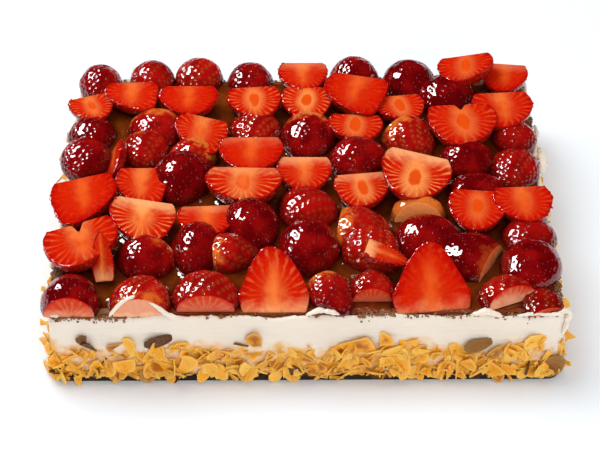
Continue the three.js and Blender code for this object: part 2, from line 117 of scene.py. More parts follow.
# The columns from left to right, and in each the pieces from the back to the front:
# (how it lies, X from the column's line, Y, width, length, turn, extras). The extras shape
# the piece (tip, roll, lift, lean, blunt, thick, notch) or colour it: ripe from bright to
# dark red, shoulder the pale trimmed end of the skin, seedy the seeds' relief, pale, core
# and band the light parts of the cut face. A piece with "on" is stuck to the one before it.
COLUMNS = (
    (
        (SKIN, 2, 99, 27, 26, -90, dict(ripe=0.6, thick=1.02)),
        (FACE, -1, 69, 27, 24, -71, dict(thick=0.85, pale=0.42, core=0.3)),
        (SKIN, 1, 47, 30, 26, -90, dict(on=True, ripe=0.8, thick=0.82)),
        (SKIN, -1, 24, 31, 28, -100, dict(ripe=0.7, seedy=1.2)),
        (FACE, 2, -19, 38, 38, -80, dict(lean=-8, roll=7, pale=0, core=0)),
        (FACE, 4, -59, 42, 33, -75, dict(lean=-5, roll=8, blunt=2, notch=7, pale=0.35, core=0.15)),
        (QUARTER, 17.8, -79.4, 17.5, 27, 97,
         dict(tip=42, lift=4, on=True, pale=0.25, core=0, band=0.8, ripe=0.3)),
        (SKIN, 1, -98, 33, 28, 90, dict(thick=1.05, ripe=0.85, seedy=0.35, pale=0.5)),
    ),
    (
        (SKIN, 2, 102, 29, 27, -90, dict(ripe=0.5, thick=1)),
        (FACE, -9, 79, 33, 28, -88, dict(lean=9, pale=0.22, core=0.12)),
        (SKIN, 8, 52.5, 36, 28, -90, dict(on=True, ripe=0.6, shoulder=0.8, seedy=0.5, thick=0.78)),
        (FACE, -16, 20.5, 19, 27, -90, dict(ripe=0.5, pale=0.15, core=0, roll=60, blunt=1.8)),
        (SKIN, 2, 32, 30, 26, -80, dict(on=True, ripe=0.45, shoulder=0.25)),
        (FACE, 2, -5, 30, 34, -90, dict(lean=6, pale=0.3, core=0.05)),
        (FACE, 5, -38, 38, 35, -94, dict(lean=4, roll=-8, blunt=1.3, pale=0.75, core=0, band=0.8)),
        (SKIN, 8, -64, 34, 27, -120, dict(ripe=0.7, shoulder=0.35, seedy=0.7)),
        (SKIN, 6.5, -98, 34, 28, 90, dict(ripe=0.3, shoulder=0.35, seedy=1, pale=0.95)),
    ),
    (
        (SKIN, -1, 104, 31, 27, -90, dict(ripe=0.35, seedy=1.1, thick=0.97)),
        (FACE, -6, 73.5, 36, 28, -90, dict(lean=2, pale=0.05, core=0)),
        (FACE, 3, 43, 32, 32, -100, dict(lean=8, roll=-9, pale=0.35, core=0.2)),
        (SKIN, -2, 26, 29, 26, -135, dict(on=True, ripe=0.25, shoulder=1.0, seedy=0.9)),
        (SKIN, -7, 5, 37, 34, -90, dict(thick=1, ripe=0.9, seedy=0.6)),
        (FACE, 9, -38, 34, 25, -87, dict(pale=0.25, core=0, band=0.3)),
        (SKIN, 4, -56, 31, 32, -90, dict(ripe=0.75, seedy=0.8, thick=1.08)),
        (SKIN, 10, -94, 38, 29, 90, dict(ripe=0.4, seedy=1.2, pale=0.3, thick=0.78)),
    ),
    (
        (SKIN, -1, 101, 29, 26, -90, dict(ripe=0.65)),
        (FACE, 2, 73, 33, 30, -85, dict(lean=2, pale=0.45, core=0.6)),
        (SKIN, 3, 51.5, 33, 27, -90, dict(on=True, ripe=0.35, seedy=1.3, thick=0.72)),
        (FACE, 1, 20.5, 38, 31, -90, dict(pale=0.1, core=0, band=0.2)),
        (FACE, -3, -10, 44, 29, -92, dict(lean=3, pale=0.55, core=0.25, band=0.3)),
        (SKIN, 1, -39, 34, 34, -90, dict(thick=1.15, ripe=0.8, seedy=0.6)),
        (SKIN, -10.5, -60, 30, 27, 5, dict(ripe=0.45, shoulder=0.5, seedy=1.2)),
        (FACE, 15, -96, 38, 39, 90,
         dict(tip=38, lift=-10, blunt=1, pale=0.35, core=0, band=0.7, middle=0.3)),
    ),
    (
        (FACE, 0, 100, 31, 28, -90, dict(pale=0.22, core=0, band=0.3)),
        (FACE, 2, 73, 31, 32, -92, dict(lean=2, pale=0.6, core=0.8)),
        (SKIN, 3, 45, 35, 32, -90, dict(thick=0.92, ripe=0.75, shoulder=0.6, seedy=0.7)),
        (FACE, 0, 5, 32, 30, -91, dict(lean=1, pale=0.3, core=0, band=0.6)),
        (SKIN, 2, -22, 36, 28, -120, dict(on=True, ripe=0.5, seedy=0.9, thick=0.78)),
        (SKIN, 2, -56, 36, 33, -90, dict(thick=1, ripe=0.8, seedy=0.7)),
        (SKIN, 13, -91, 25, 28, -60, dict(ripe=0.6, shoulder=0.5)),
    ),
    (
        (SKIN, 0, 104, 31, 27, -90, dict(ripe=0.7, thick=1.02)),
        (FACE, 0, 79, 39, 37, -104, dict(lean=10, pale=0.1, core=0)),
        (FACE, -1, 47, 33, 24, -94, dict(lean=3, pale=0.35, core=0.7)),
        (SKIN, 0, 22, 36, 28, -90, dict(on=True, ripe=0.65, seedy=0.9)),
        (FACE, 1, -10, 32, 29, -83, dict(lean=-3, pale=0.5, core=0.8, band=0.5)),
        (SKIN, -2, -40, 35, 31, -10, dict(on=True, ripe=0.45, shoulder=0.6, thick=0.78)),
        (SKIN, 5, -58, 34, 31, -60, dict(ripe=0.35, seedy=1.2, band=0.15)),
        (FACE, 9.5, -72, 18, 25, -16,
         dict(roll=-10, lift=9, blunt=1.2, on=True, pale=0.3, core=0, band=1, tip=-15)),
        (SKIN, 4, -89, 26, 22, 90, dict(ripe=0.45, pale=0.25)),
    ),
    (
        (SKIN, 2, 100, 34, 29, -90, dict(ripe=0.95, seedy=0.4)),
        (FACE, -6, 67, 31, 24, -82, dict(lean=4, pale=0.35, core=0.6)),
        (SKIN, -1, 43, 34, 30, -50, dict(on=True, ripe=0.35, shoulder=0.7, seedy=0.9, thick=0.85)),
        (FACE, 1, 0, 41, 41, -100,
         dict(lean=-2, roll=-9, pale=0.8, core=0.7, band=0.9, middle=0.55)),
        (SKIN, 0.8, -26.5, 33, 20, 88,
         dict(on=True, ripe=0.1, shoulder=1.5, seedy=0.5, pale=1.0, thick=0.95, tip=-20,
              lift=-6.5, band=0.9)),
        (SKIN, 4.5, -51, 40, 31, -100, dict(ripe=0.75, seedy=0.4, thick=0.88)),
        (FACE, 3.8, -95.9, 43, 42, 97,
         dict(tip=38, lift=-12, blunt=0.8, pale=0.06, core=0, band=0.45, middle=0.3)),
    ),
    (
        (FACE, 4, 96, 35, 25, -92, dict(lean=-4, lift=7, roll=11, pale=0.25, core=0.8)),
        (SKIN, -8, 82.5, 37, 30, -90, dict(on=True, ripe=0.9, seedy=0.8)),
        (FACE, -1, 47, 42, 38, -86, dict(lean=-4, notch=5, pale=0.3, core=0.5)),
        (SKIN, 0, 21, 33, 26, -90, dict(on=True, ripe=0.85, seedy=0.6)),
        (SKIN, 4, -5.5, 34, 25, -90, dict(thick=0.6, ripe=0.85, seedy=0.3)),
        (FACE, 2, -28, 33, 34, -96, dict(pale=0.25, core=0.6)),
        (SKIN, -4, -64, 37, 35, 150,
         dict(ripe=1.0, shoulder=0.15, seedy=0.3, thick=0.8, band=0.35, pale=0.5)),
        (SKIN, 13, -91.5, 35, 25, 113, dict(ripe=0.4, pale=0.7, thick=0.72, tip=-18, lift=-7.3)),
    ),
    (
        (FACE, -3, 97, 29, 28, -97, dict(thick=0.9, pale=0.06, core=0, band=0.2)),
        (FACE, -7.5, 63, 37, 34, -86, dict(lean=-3, pale=0.25, core=0.15)),
        (SKIN, -2, 42, 28, 24, -90, dict(on=True, ripe=0.55, shoulder=0.3, seedy=1.2)),
        (SKIN, -4, 14, 30, 28, -90, dict(ripe=0.5, seedy=1.2, thick=0.82)),
        (FACE, -4, -24, 34, 30, -87, dict(lean=2, pale=0.22, core=0.2)),
        (SKIN, -2, -47, 32, 26, -90, dict(on=True, ripe=0.6, seedy=0.9, thick=0.74)),
        (SKIN, -4, -71.5, 35, 33, -110, dict(ripe=0.85, seedy=0.35)),
        (SKIN, -0.2, -99, 22.5, 23, 105, dict(thick=0.45, ripe=0.35, pale=0.1)),
    ),
)


# ---- Settings that a user may change ------------------------------------------


def length_property(label, text, millimetres):
    return FloatProperty(
        name=label, description=text, default=millimetres * MM, min=0.0, precision=5, unit="LENGTH"
    )


def colour_property(label, text, colour):
    return FloatVectorProperty(
        name=label, description=text, default=colour, subtype="COLOR", size=3, min=0.0, max=1.0
    )


class TartSizes(bpy.types.PropertyGroup):
    """Sizes of the fine parts that the solids leave out."""

    seed_spacing: length_property("Seed spacing", "Between two seeds of a strawberry", 3.3)
    seed_length: length_property("Seed length", "Along the strawberry", 1.15)
    dimple_depth: length_property("Dimple depth", "Of the pit round a seed", 0.6)
    dimple_radius: length_property("Dimple radius", "Of the pit round a seed", 1.0)
    berry_lumps: length_property("Berry lumps", "How uneven a strawberry's skin is", 0.45)
    glaze_film: length_property("Glaze film", "Thickness of the glaze on the sponge", 0.5)
    glaze_climb: length_property("Glaze climb", "How high the glaze climbs up the fruit", 1.1)
    cream_strokes: length_property("Cream strokes", "Depth of the knife's strokes in the cream", 0.55)
    cream_lumps: length_property("Cream lumps", "Depth of the lumps under the almonds", 1.0)
    crumb_size: length_property("Crumb size", "Across a crumb on the rim", 1.3)
    flake_count: IntProperty(
        name="Small flakes", description="Almond flakes besides the large ones", default=1350, min=0
    )
    berry_detail: IntProperty(
        name="Berry detail", description="Subdivisions of a strawberry", default=6, min=3, max=7
    )


class TartColours(bpy.types.PropertyGroup):
    """Colours of the tart's parts."""

    skin_bright: colour_property("Bright skin", "Less ripe fruit", (0.50, 0.006, 0.004))
    skin_dark: colour_property("Dark skin", "Ripe fruit", (0.125, 0.0008, 0.0022))
    skin_shoulder: colour_property("Skin shoulder", "Unripe end of the skin", (0.74, 0.17, 0.024))
    seed: colour_property("Seed", "Seeds of the strawberries", (0.52, 0.070, 0.022))
    # Painted shade: the colour that the skin darkens to at its foot, where the fruit meets the glaze.
    skin_foot_shade: colour_property("Skin's foot", "Skin in the pooled glaze", (0.035, 0.0002, 0.0008))
    flesh_rim: colour_property("Flesh rim", "Cut face next to the skin", (0.46, 0.003, 0.0015))
    flesh: colour_property("Flesh", "Cut face of a strawberry", (0.58, 0.009, 0.0015))
    flesh_pale: colour_property("Pale flesh", "Streaks of the cut face", (0.92, 0.33, 0.085))
    flesh_core: colour_property("Core", "Middle of the cut face", (0.76, 0.075, 0.005))
    trim_flesh: colour_property("Trimmed end", "Flat end where the leaves were", (0.60, 0.045, 0.009))
    glaze_amber: colour_property("Amber glaze", "Glaze over the sponge", (0.25, 0.045, 0.005))
    # Dark red glaze; next to the fruit it also serves as painted shade in the gaps.
    glaze_red_and_shade: colour_property("Red glaze", "Glaze next to the fruit", (0.045, 0.002, 0.001))
    cream: colour_property("Cream", "Cream coat", (0.835, 0.735, 0.62))
    cream_warm: colour_property("Warm cream", "Cream among the almonds", (0.80, 0.46, 0.10))
    almond_pale: colour_property("Pale almond", "Edges of a flake", (0.95, 0.56, 0.105))
    almond: colour_property("Almond", "Toasted almond", (0.87, 0.345, 0.010))
    almond_brown: colour_property("Brown almond", "Darkest toasted almond", (0.46, 0.13, 0.006))
    almond_skin: colour_property("Almond skin", "Brown skin of an almond", (0.06, 0.022, 0.009))
    crumb: colour_property("Crumb", "Crumbs of the sponge", (0.27, 0.105, 0.03))
    sponge: colour_property("Sponge", "Browned sponge", (0.42, 0.18, 0.07))
    biscuit: colour_property("Biscuit", "Dark base", (0.022, 0.016, 0.014))


# ---- Meshes --------------------------------------------------------------------


def smoothstep(value, low, high):
    share = np.clip((value - low) / (high - low), 0, 1)
    return share * share * (3 - 2 * share)


def trait(i, k):
    """A repeatable random number from 0 to 1 for piece number i and trait k."""
    return (sin(i * 12.9898 + k * 78.233) * 43758.5453) % 1


def vertex_values(mesh, field="co"):
    """The places of a mesh's vertices, or their normals, as rows."""
    values = np.empty(len(mesh.vertices) * 3)
    mesh.vertices.foreach_get(field, values)
    return values.reshape(-1, 3)


def set_attribute(mesh, name, values):
    """Stores a number or a vector for each vertex, or one vector for all of them."""
    values = np.asarray(values, float)
    if values.shape == (3,):
        values = np.tile(values, (len(mesh.vertices), 1))
    kind, field = ("FLOAT", "value") if values.ndim == 1 else ("FLOAT_VECTOR", "vector")
    layer = mesh.attributes.new(name, kind, "POINT")
    layer.data.foreach_set(field, values.ravel())


def mesh_of(bm, name, smooth=False):
    if smooth:
        for face in bm.faces:
            face.smooth = True
    mesh = bpy.data.meshes.new(name)
    bm.to_mesh(mesh)
    bm.free()
    return mesh


def add_piece(name, mesh, slot, materials, *nodes):
    """Links a finished mesh as a piece of the tart that stands for the given solids."""
    mesh.transform(Matrix.Scale(MM, 4))
    for surface in materials:
        mesh.materials.append(surface)
    piece = bpy.data.objects.new(name, mesh)
    bpy.context.scene.collection.objects.link(piece)
    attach(piece, ROOT)
    if nodes:
        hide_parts(*nodes)


def small_shape(bm, name):
    """Keeps a small shape as a mesh, whose copies are joined into a piece."""
    bmesh.ops.recalc_face_normals(bm, faces=bm.faces)
    bmesh.ops.triangulate(bm, faces=bm.faces)
    return mesh_of(bm, name)


def joined_copies(name, copies):
    """One mesh of many copies, each given as (shape, matrix, tone)."""
    bm = bmesh.new()
    for shape, matrix, tone in copies:
        copy = shape.copy()
        copy.transform(matrix)
        set_attribute(copy, "tone", tone)
        bm.from_mesh(copy)
        bpy.data.meshes.remove(copy)
    return mesh_of(bm, name)


def cut_off(bm, point, normal, dist):
    """Cuts off what lies beyond a plane."""
    everything = bm.verts[:] + bm.edges[:] + bm.faces[:]
    bmesh.ops.bisect_plane(
        bm, geom=everything, dist=dist, plane_co=point, plane_no=normal, clear_outer=True
    )


def open_edges(items):
    return [item for item in items if isinstance(item, bmesh.types.BMEdge) and item.is_boundary]


def grown_rim(bm, rim):
    """Extrudes an open rim, and gives the new vertices and the new open edges."""
    grown = bmesh.ops.extrude_edge_only(bm, edges=rim)["geom"]
    return [item for item in grown if isinstance(item, bmesh.types.BMVert)], open_edges(grown)


def edge_point(distance):
    """The place on the cream's face, and the outward direction there, at a distance along
    the tart's edge. The way starts at the right end of the back and goes anticlockwise."""
    half_x, half_y = FRONT_WAY / 2, SIDE_WAY / 2
    centres = ((half_x, half_y), (-half_x, half_y), (-half_x, -half_y), (half_x, -half_y))
    left = distance % EDGE_LENGTH
    for quarter, centre in enumerate(centres):
        side = SIDE_WAY if quarter % 2 else FRONT_WAY
        turn = (quarter + min(left / CORNER_WAY, 1)) * pi / 2
        out = Vector((cos(turn), sin(turn), 0))
        at = Vector((*centre, 0)) + out * CORNER_RADIUS
        left -= CORNER_WAY
        if left <= 0:
            return at, out
        if left <= side:
            return at + Vector((-out.y, out.x, 0)) * left, out
        left -= side
    return at, out


def side_distance(side, place):
    """The distance along the tart's edge of a place, given as X on the front side and as Y
    on the left or right side."""
    if side == "left":
        return 2 * CORNER_WAY + FRONT_WAY + SIDE_WAY / 2 - place
    if side == "front":
        return 3 * CORNER_WAY + FRONT_WAY + SIDE_WAY + place + FRONT_WAY / 2
    return 4 * CORNER_WAY + 2 * FRONT_WAY + SIDE_WAY + place + SIDE_WAY / 2


# ---- Materials -----------------------------------------------------------------


class Value:
    """An output of a material's nodes, which can be reckoned with."""

    def __init__(self, surface, socket):
        self.surface, self.socket = surface, socket

    def __add__(self, other):
        return self.surface.maths("ADD", self, other)

    def __sub__(self, other):
        return self.surface.maths("SUBTRACT", self, other)

    def __mul__(self, other):
        return self.surface.maths("MULTIPLY", self, other)

    def ramp(self, low, high, to_low=0.0, to_high=1.0):
        """Goes smoothly from to_low, at low or less, to to_high, at high or more."""
        inputs = {"Value": self, "From Min": low, "From Max": high, "To Min": to_low, "To Max": to_high}
        return self.surface.node("MapRange", "Result", inputs, interpolation_type="SMOOTHSTEP")

    def around(self, reach):
        """Spreads a noise to both sides of zero."""
        return self.ramp(0.3, 0.7, -reach, reach)


class Surface:
    """A material whose nodes are added and wired one after another."""

    def __init__(self, name, **constants):
        self.material = bpy.data.materials.new(name)
        self.material.use_nodes = True
        self.tree = self.material.node_tree
        self.shader = self.tree.nodes["Principled BSDF"]
        for name, value in constants.items():
            socket = name.replace("_", " ").title().replace("Ior", "IOR")
            self.shader.inputs[socket].default_value = value

    def feed(self, socket, value):
        if isinstance(value, Value):
            self.tree.links.new(value.socket, socket)
        elif hasattr(socket.default_value, "__len__") and len(socket.default_value) == 4:
            socket.default_value = (*value, 1.0)
        else:
            socket.default_value = value

    def node(self, kind, output, inputs, **settings):
        made = self.tree.nodes.new("ShaderNode" + kind)
        for name, value in settings.items():
            setattr(made, name, value)
        for key, value in inputs.items():
            self.feed(made.inputs[key], value)
        return Value(self, made.outputs[output])

    def attribute(self, name, output="Fac"):
        return self.node("Attribute", output, {}, attribute_name=name)

    def place(self):
        return self.node("TexCoord", "Object", {})

    def split(self, value):
        outputs = self.node("SeparateXYZ", 0, {0: value}).socket.node.outputs
        return tuple(Value(self, socket) for socket in outputs)

    def parts(self, name):
        """The three numbers of a vector attribute."""
        return self.split(self.attribute(name, "Vector"))

    def joined(self, x, y, z=0.0):
        return self.node("CombineXYZ", 0, {0: x, 1: y, 2: z})

    def maths(self, operation, first, second=0.0):
        return self.node("Math", 0, {0: first, 1: second}, operation=operation)

    def length(self, value):
        return self.node("VectorMath", "Value", {0: value}, operation="LENGTH")

    def stretched(self, value, factors):
        return self.node("VectorMath", 0, {0: value, 1: factors}, operation="MULTIPLY")

    def noise(self, place, scale, detail=2.0, roughness=0.5):
        inputs = {"Vector": place, "Scale": scale, "Detail": detail, "Roughness": roughness}
        return self.node("TexNoise", "Fac", inputs)

    def cells(self, place, scale):
        return self.node("TexVoronoi", "Distance", {"Vector": place, "Scale": scale})

    def mix(self, factor, first, second):
        inputs = {0: factor, 6: first, 7: second}
        return self.node("Mix", 2, inputs, data_type="RGBA", clamp_factor=True)

    def bump(self, height, strength, distance):
        inputs = {"Height": height, "Strength": strength, "Distance": distance}
        self.feed(self.shader.inputs["Normal"], self.node("Bump", 0, inputs))

    def colour(self, value):
        self.feed(self.shader.inputs["Base Color"], value)


WET = dict(roughness=0.4, coat_roughness=0.03, coat_ior=1.6, specular_ior_level=0.0)

# In millimetres: how high the painted shade at the foot of a strawberry's skin reaches, where along
# the front the sponge's edge stops being dry, from where to where the glaze's red front strip fades,
# and between which heights the cream loses the almonds' warm tint.
FOOT_SHADE_HEIGHT = 9.0
DRY_CORNER = -108.0
FRONT_STRIP = (-105.0, -96.0)
ALMOND_LINE = (20.0, 30.0)


def skin_material(colours):
    """Strawberry skin under glaze: mottled red, paler round the seeds and at the shoulder,
    and darkened towards its foot with painted shade, where the fruit meets the glaze."""
    skin = Surface(
        "strawberry_skin", **WET, coat_weight=1.0, subsurface_weight=0.12, subsurface_scale=0.0015
    )
    place = skin.place()
    _, _, height = skin.split(place)
    _, along, _ = skin.parts("berry")
    ripe, shoulder, seedy = skin.parts("tone")
    depth = ripe + skin.noise(place, 90, 3).around(0.25)
    red = skin.mix(depth, colours.skin_bright, colours.skin_dark)
    halo = skin.attribute("dimple") * ripe.ramp(0.15, 0.7, 0.35, 0.0)
    red = skin.mix(halo, red, colours.skin_shoulder)
    reach = along + skin.noise(place, 160, 3).around(0.16) - shoulder * 0.3
    have = shoulder.ramp(0.0, 0.5, 0.0, 0.95)
    red = skin.mix(reach.ramp(-0.15, 0.3, 1.0, 0.0) * have, red, colours.skin_bright)
    red = skin.mix(reach.ramp(-0.2, 0.1, 1.0, 0.0) * have, red, colours.skin_shoulder)
    # Painted shade: the skin darkens towards its foot, where the fruit meets the glaze.
    foot = height.ramp(TART_TOP * MM, (TART_TOP + FOOT_SHADE_HEIGHT) * MM, 0.75, 0.0)
    skin.colour(skin.mix(foot, red, colours.skin_foot_shade))
    skin.bump(skin.noise(place, 420, 3, 0.6), seedy.ramp(0.3, 1.3, 0.25, 0.85), 0.0016)
    return skin.material


def fan(surface, across, ahead, seed, count):
    """Pale rays that fan out from a middle, unevenly spaced and broken along their length."""
    turn = surface.maths("ARCTAN2", ahead, across)
    way = surface.joined(across, ahead, seed)
    phase = turn * count + surface.noise(way, 1.9, 2) * 9.0
    wave = surface.maths("COSINE", phase).ramp(0.1, 1.0)
    return wave * surface.noise(way, 4.5, 2).ramp(0.35, 0.6, 0.25, 1.0)


def flesh_material(colours):
    """Cut face of a strawberry: red at the rim, an orange glow in the middle, pale rays, and
    either a core with a pale halo or a pale wedge that runs in from the trimmed end."""
    flesh = Surface(
        "strawberry_flesh", **WET, coat_weight=0.2, subsurface_weight=0.1, subsurface_scale=0.001
    )
    place = flesh.place()
    across, ahead, _ = flesh.parts("core")
    _, along, _ = flesh.parts("berry")
    _, pale, heart = flesh.parts("cut_tone")
    band, seed, _ = flesh.parts("cut_trait")
    inside = flesh.attribute("inside")
    off = flesh.maths("ABSOLUTE", across)
    soft, fine = flesh.noise(place, 130, 3), flesh.noise(place, 420, 2)
    rays = fan(flesh, across, ahead, seed, 24.0)
    scallop = inside + rays * pale.ramp(0.0, 0.5, 0.04, 0.14)
    colour = flesh.mix(scallop.ramp(0.02, 0.34), colours.flesh_rim, colours.flesh)
    colour = flesh.mix(fine.ramp(0.5, 0.75, 0.0, 0.25), colour, colours.flesh_core)
    glow = (inside + soft.around(0.16)).ramp(0.15, 0.75) * pale.ramp(0.0, 0.5, 0.8, 1.0)
    stripe = (off + soft.around(0.06)).ramp(0.03, 0.3, 1.0, 0.12)
    colour = flesh.mix(glow * stripe, colour, colours.flesh_core)
    body = inside.ramp(0.01, 0.07) * inside.ramp(0.12, 0.75, 1.0, 0.15)
    ray = rays * body * pale.ramp(0.03, 0.9, 0.03, 0.65)
    colour = flesh.mix(ray, colour, colours.flesh_pale)
    wedge = (off + along * 0.6 + soft.around(0.1)).ramp(0.1, 0.62, 1.0, 0.0)
    wedge = wedge * heart.ramp(0.1, 0.4, 1.0, 0.0) * pale.ramp(0.0, 0.8, 0.1, 0.9)
    colour = flesh.mix(wedge, colour, colours.flesh_pale)
    oval = flesh.length(flesh.joined(across * 4.6, ahead * 2.2)) + soft.around(0.16)
    ring = oval.ramp(0.6, 1.0) * oval.ramp(0.9, 2.4, 1.0, 0.0)
    light = ring * pale.ramp(0.0, 0.8, 0.06, 0.75) * heart.ramp(0.05, 0.5, 0.35, 1.0)
    colour = flesh.mix(light, colour, colours.flesh_pale)
    core = oval.ramp(0.55, 1.0, 1.0, 0.0) * heart * 0.8
    colour = flesh.mix(core, colour, colours.flesh_core)
    top = (along + soft.around(0.06)).ramp(0.0, 0.32, 1.0, 0.0) * band
    flesh.colour(flesh.mix(top, colour, flesh.mix(0.15, colours.flesh_pale, colours.cream)))
    flesh.bump(rays + soft + fine, 0.3, 0.0008)
    return flesh.material


def trim_material(colours):
    """Flat end where a strawberry's leaves were cut off: red at the rim, with pale rays."""
    trim = Surface(
        "strawberry_trimmed_end",
        **WET, coat_weight=0.12, subsurface_weight=0.15, subsurface_scale=0.0015
    )
    across, _, up = trim.parts("berry")
    up = trim.maths("ABSOLUTE", up)
    _, pale, _ = trim.parts("cut_tone")
    band, seed, _ = trim.parts("cut_trait")
    inside = trim.attribute("inside")
    rays = fan(trim, across, up + 0.1, seed, 20.0)
    colour = trim.mix(inside.ramp(0.0, 0.35), colours.flesh, colours.trim_flesh)
    cold = trim.mix(0.35, colours.flesh_pale, colours.cream)
    colour = trim.mix(rays * inside.ramp(0.03, 0.2) * 0.18, colour, cold)
    low = up + trim.noise(trim.place(), 160, 3).around(0.1)
    wash = trim.maths("MAXIMUM", low.ramp(0.0, 0.5, 1.0, 0.0), pale.ramp(0.8, 1.0, 0.0, 0.8))
    colour = trim.mix(wash * pale.ramp(0.0, 1.0, 0.03, 0.95), colour, cold)
    peach = trim.mix(0.95, colours.skin_shoulder, colours.flesh_pale)
    trim.colour(trim.mix(band, colour, peach))
    trim.bump(rays, 0.25, 0.0006)
    return trim.material


def seed_material(colours):
    """Seeds under glaze: orange on bright fruit, nearly as dark as the skin on ripe fruit."""
    seed = Surface("strawberry_seed", **WET, coat_weight=1.0)
    ripe, shoulder, _ = seed.parts("tone")
    speck = seed.noise(seed.place(), 700, 1)
    colour = seed.mix(speck.ramp(0.35, 0.65, 0.0, 0.5), colours.seed, colours.skin_shoulder)
    red = seed.mix(0.3, colours.skin_dark, colours.seed)
    colour = seed.mix(ripe.ramp(0.1, 0.7), colour, red)
    seed.colour(seed.mix(shoulder.ramp(1.2, 1.6, 0.0, 0.9), colour, colours.almond_skin))
    return seed.material


def glaze_material(colours):
    """Clear jelly over browned sponge, red at the front, and dark red next to the fruit, partly painted
    shade.
    """
    glaze = Surface("glaze", **WET, coat_weight=1.0)
    place = glaze.place()
    _, ahead, _ = glaze.split(place)
    crumb = glaze.noise(place, 260, 4, 0.6)
    brown = glaze.mix(crumb.ramp(0.4, 0.75, 0.0, 0.35), colours.glaze_amber, colours.almond_brown)
    # Painted shade in part: the glaze turns dark red next to the fruit, where the gaps lie in shade.
    near = glaze.attribute("near") * glaze.noise(place, 40, 2).ramp(0.35, 0.65, 0.6, 1.0)
    front = ahead.ramp(FRONT_STRIP[0] * MM, FRONT_STRIP[1] * MM, 0.5, 0.0)
    red = glaze.maths("MAXIMUM", near, front)
    glaze.colour(glaze.mix(red, brown, colours.glaze_red_and_shade))
    glaze.bump(crumb, 0.12, 0.0008)
    return glaze.material


def cream_material(colours):
    """Spread cream with the knife's faint strokes, warm where almonds lie in it."""
    cream = Surface(
        "cream",
        roughness=0.42,
        subsurface_weight=0.25, subsurface_scale=0.004, subsurface_radius=(1.0, 0.7, 0.5)
    )
    place = cream.place()
    _, _, height = cream.split(place)
    ragged = height + cream.noise(place, 55, 3).around(0.006)
    low = ragged.ramp(ALMOND_LINE[0] * MM, ALMOND_LINE[1] * MM, 1.0, 0.0)
    lumps = cream.noise(place, 120, 3, 0.6).ramp(0.38, 0.6)
    tint = cream.mix(cream.noise(place, 300, 2).ramp(0.3, 0.7), colours.cream_warm, colours.almond)
    cloud = cream.noise(place, 25, 2).ramp(0.3, 0.7, 0.0, 0.0625)
    smooth = cream.mix(cloud, colours.cream, colours.sponge)
    pits = cream.cells(place, 330).ramp(0.0, 0.11, 0.35, 0.0)
    spots = pits * cream.noise(place, 60, 2).ramp(0.5, 0.62)
    smooth = cream.mix(spots, smooth, colours.crumb)
    cream.colour(cream.mix(low * lumps.ramp(0.0, 1.0, 0.45, 1.0), smooth, tint))
    strokes = cream.noise(cream.stretched(place, (1, 1, 5)), 90, 4)
    cream.bump(strokes + lumps * low, 0.4, 0.0014)
    return cream.material


def almond_material(colours):
    """Toasted almond: golden inside, pale at the thin edge, brown where it caught the heat, and browner
    towards the middle.
    """
    almond = Surface(
        "toasted_almond",
        roughness=0.36, specular_ior_level=0.3,
        subsurface_weight=0.3, subsurface_scale=0.0015, subsurface_radius=(1.0, 0.5, 0.15)
    )
    place = almond.place()
    toast, pale, skin = almond.parts("tone")
    inside = almond.attribute("inside")
    # Besides the toast, the flake is browner towards its middle.
    browning = toast + almond.noise(place, 220, 3).around(0.3) + inside.ramp(0.5, 1.0, -0.15, 0.3)
    body = almond.mix(browning.ramp(0.4, 1.2), colours.almond, colours.almond_brown)
    body = almond.mix(pale * 0.8, body, colours.almond_pale)
    body = almond.mix(inside.ramp(0.0, 0.45, 0.65, 0.0), body, colours.almond_pale)
    grain = almond.noise(almond.stretched(place, (1, 1, 3)), 900, 2)
    bark = almond.mix(grain.ramp(0.4, 0.8, 0.0, 0.5), colours.almond_skin, colours.almond_brown)
    almond.colour(almond.mix(skin, body, bark))
    almond.bump(grain, 0.15, 0.0004)
    return almond.material


def crumb_material(colours):
    crumb = Surface("sponge_crumb", roughness=0.8)
    tone, _, _ = crumb.parts("tone")
    speck = crumb.noise(crumb.place(), 1500, 2)
    colour = crumb.mix(tone, colours.crumb, colours.sponge)
    crumb.colour(crumb.mix(speck.ramp(0.4, 0.7, 0.0, 0.5), colour, colours.almond_skin))
    crumb.bump(speck, 0.5, 0.0005)
    return crumb.material


def sponge_material(colours):
    """Browned sponge, soaked with glaze along its top edge except at the front's left end."""
    sponge = Surface("sponge_crust", roughness=0.45)
    place = sponge.place()
    across, _, height = sponge.split(place)
    pores = sponge.cells(place, 420)
    cloud = sponge.noise(place, 70, 4, 0.65).ramp(0.35, 0.65)
    tan = sponge.mix(cloud, colours.sponge, colours.crumb)
    tan = sponge.mix(pores.ramp(0.0, 0.3, 0.6, 0.0), tan, colours.almond_brown)
    soaked = height.ramp((TART_TOP - 5) * MM, (TART_TOP - 2) * MM)
    soaked = soaked * across.ramp(DRY_CORNER * MM, (DRY_CORNER + 12) * MM)
    wet = sponge.mix(pores.ramp(0.0, 0.25, 0.7, 0.2), colours.glaze_amber, colours.glaze_red_and_shade)
    sponge.colour(sponge.mix(soaked, tan, wet))
    sponge.bump(pores, 0.7, 0.0012)
    return sponge.material


def biscuit_material(colours):
    biscuit = Surface("dark_biscuit", roughness=0.75, specular_ior_level=0.2)
    place = biscuit.place()
    dust = biscuit.noise(place, 160, 4, 0.7).ramp(0.5, 0.72, 0.0, 0.4)
    biscuit.colour(biscuit.mix(dust, colours.biscuit, colours.almond_brown))
    biscuit.bump(biscuit.noise(place, 500, 4, 0.6), 0.4, 0.001)
    return biscuit.material


# ---- Strawberries --------------------------------------------------------------

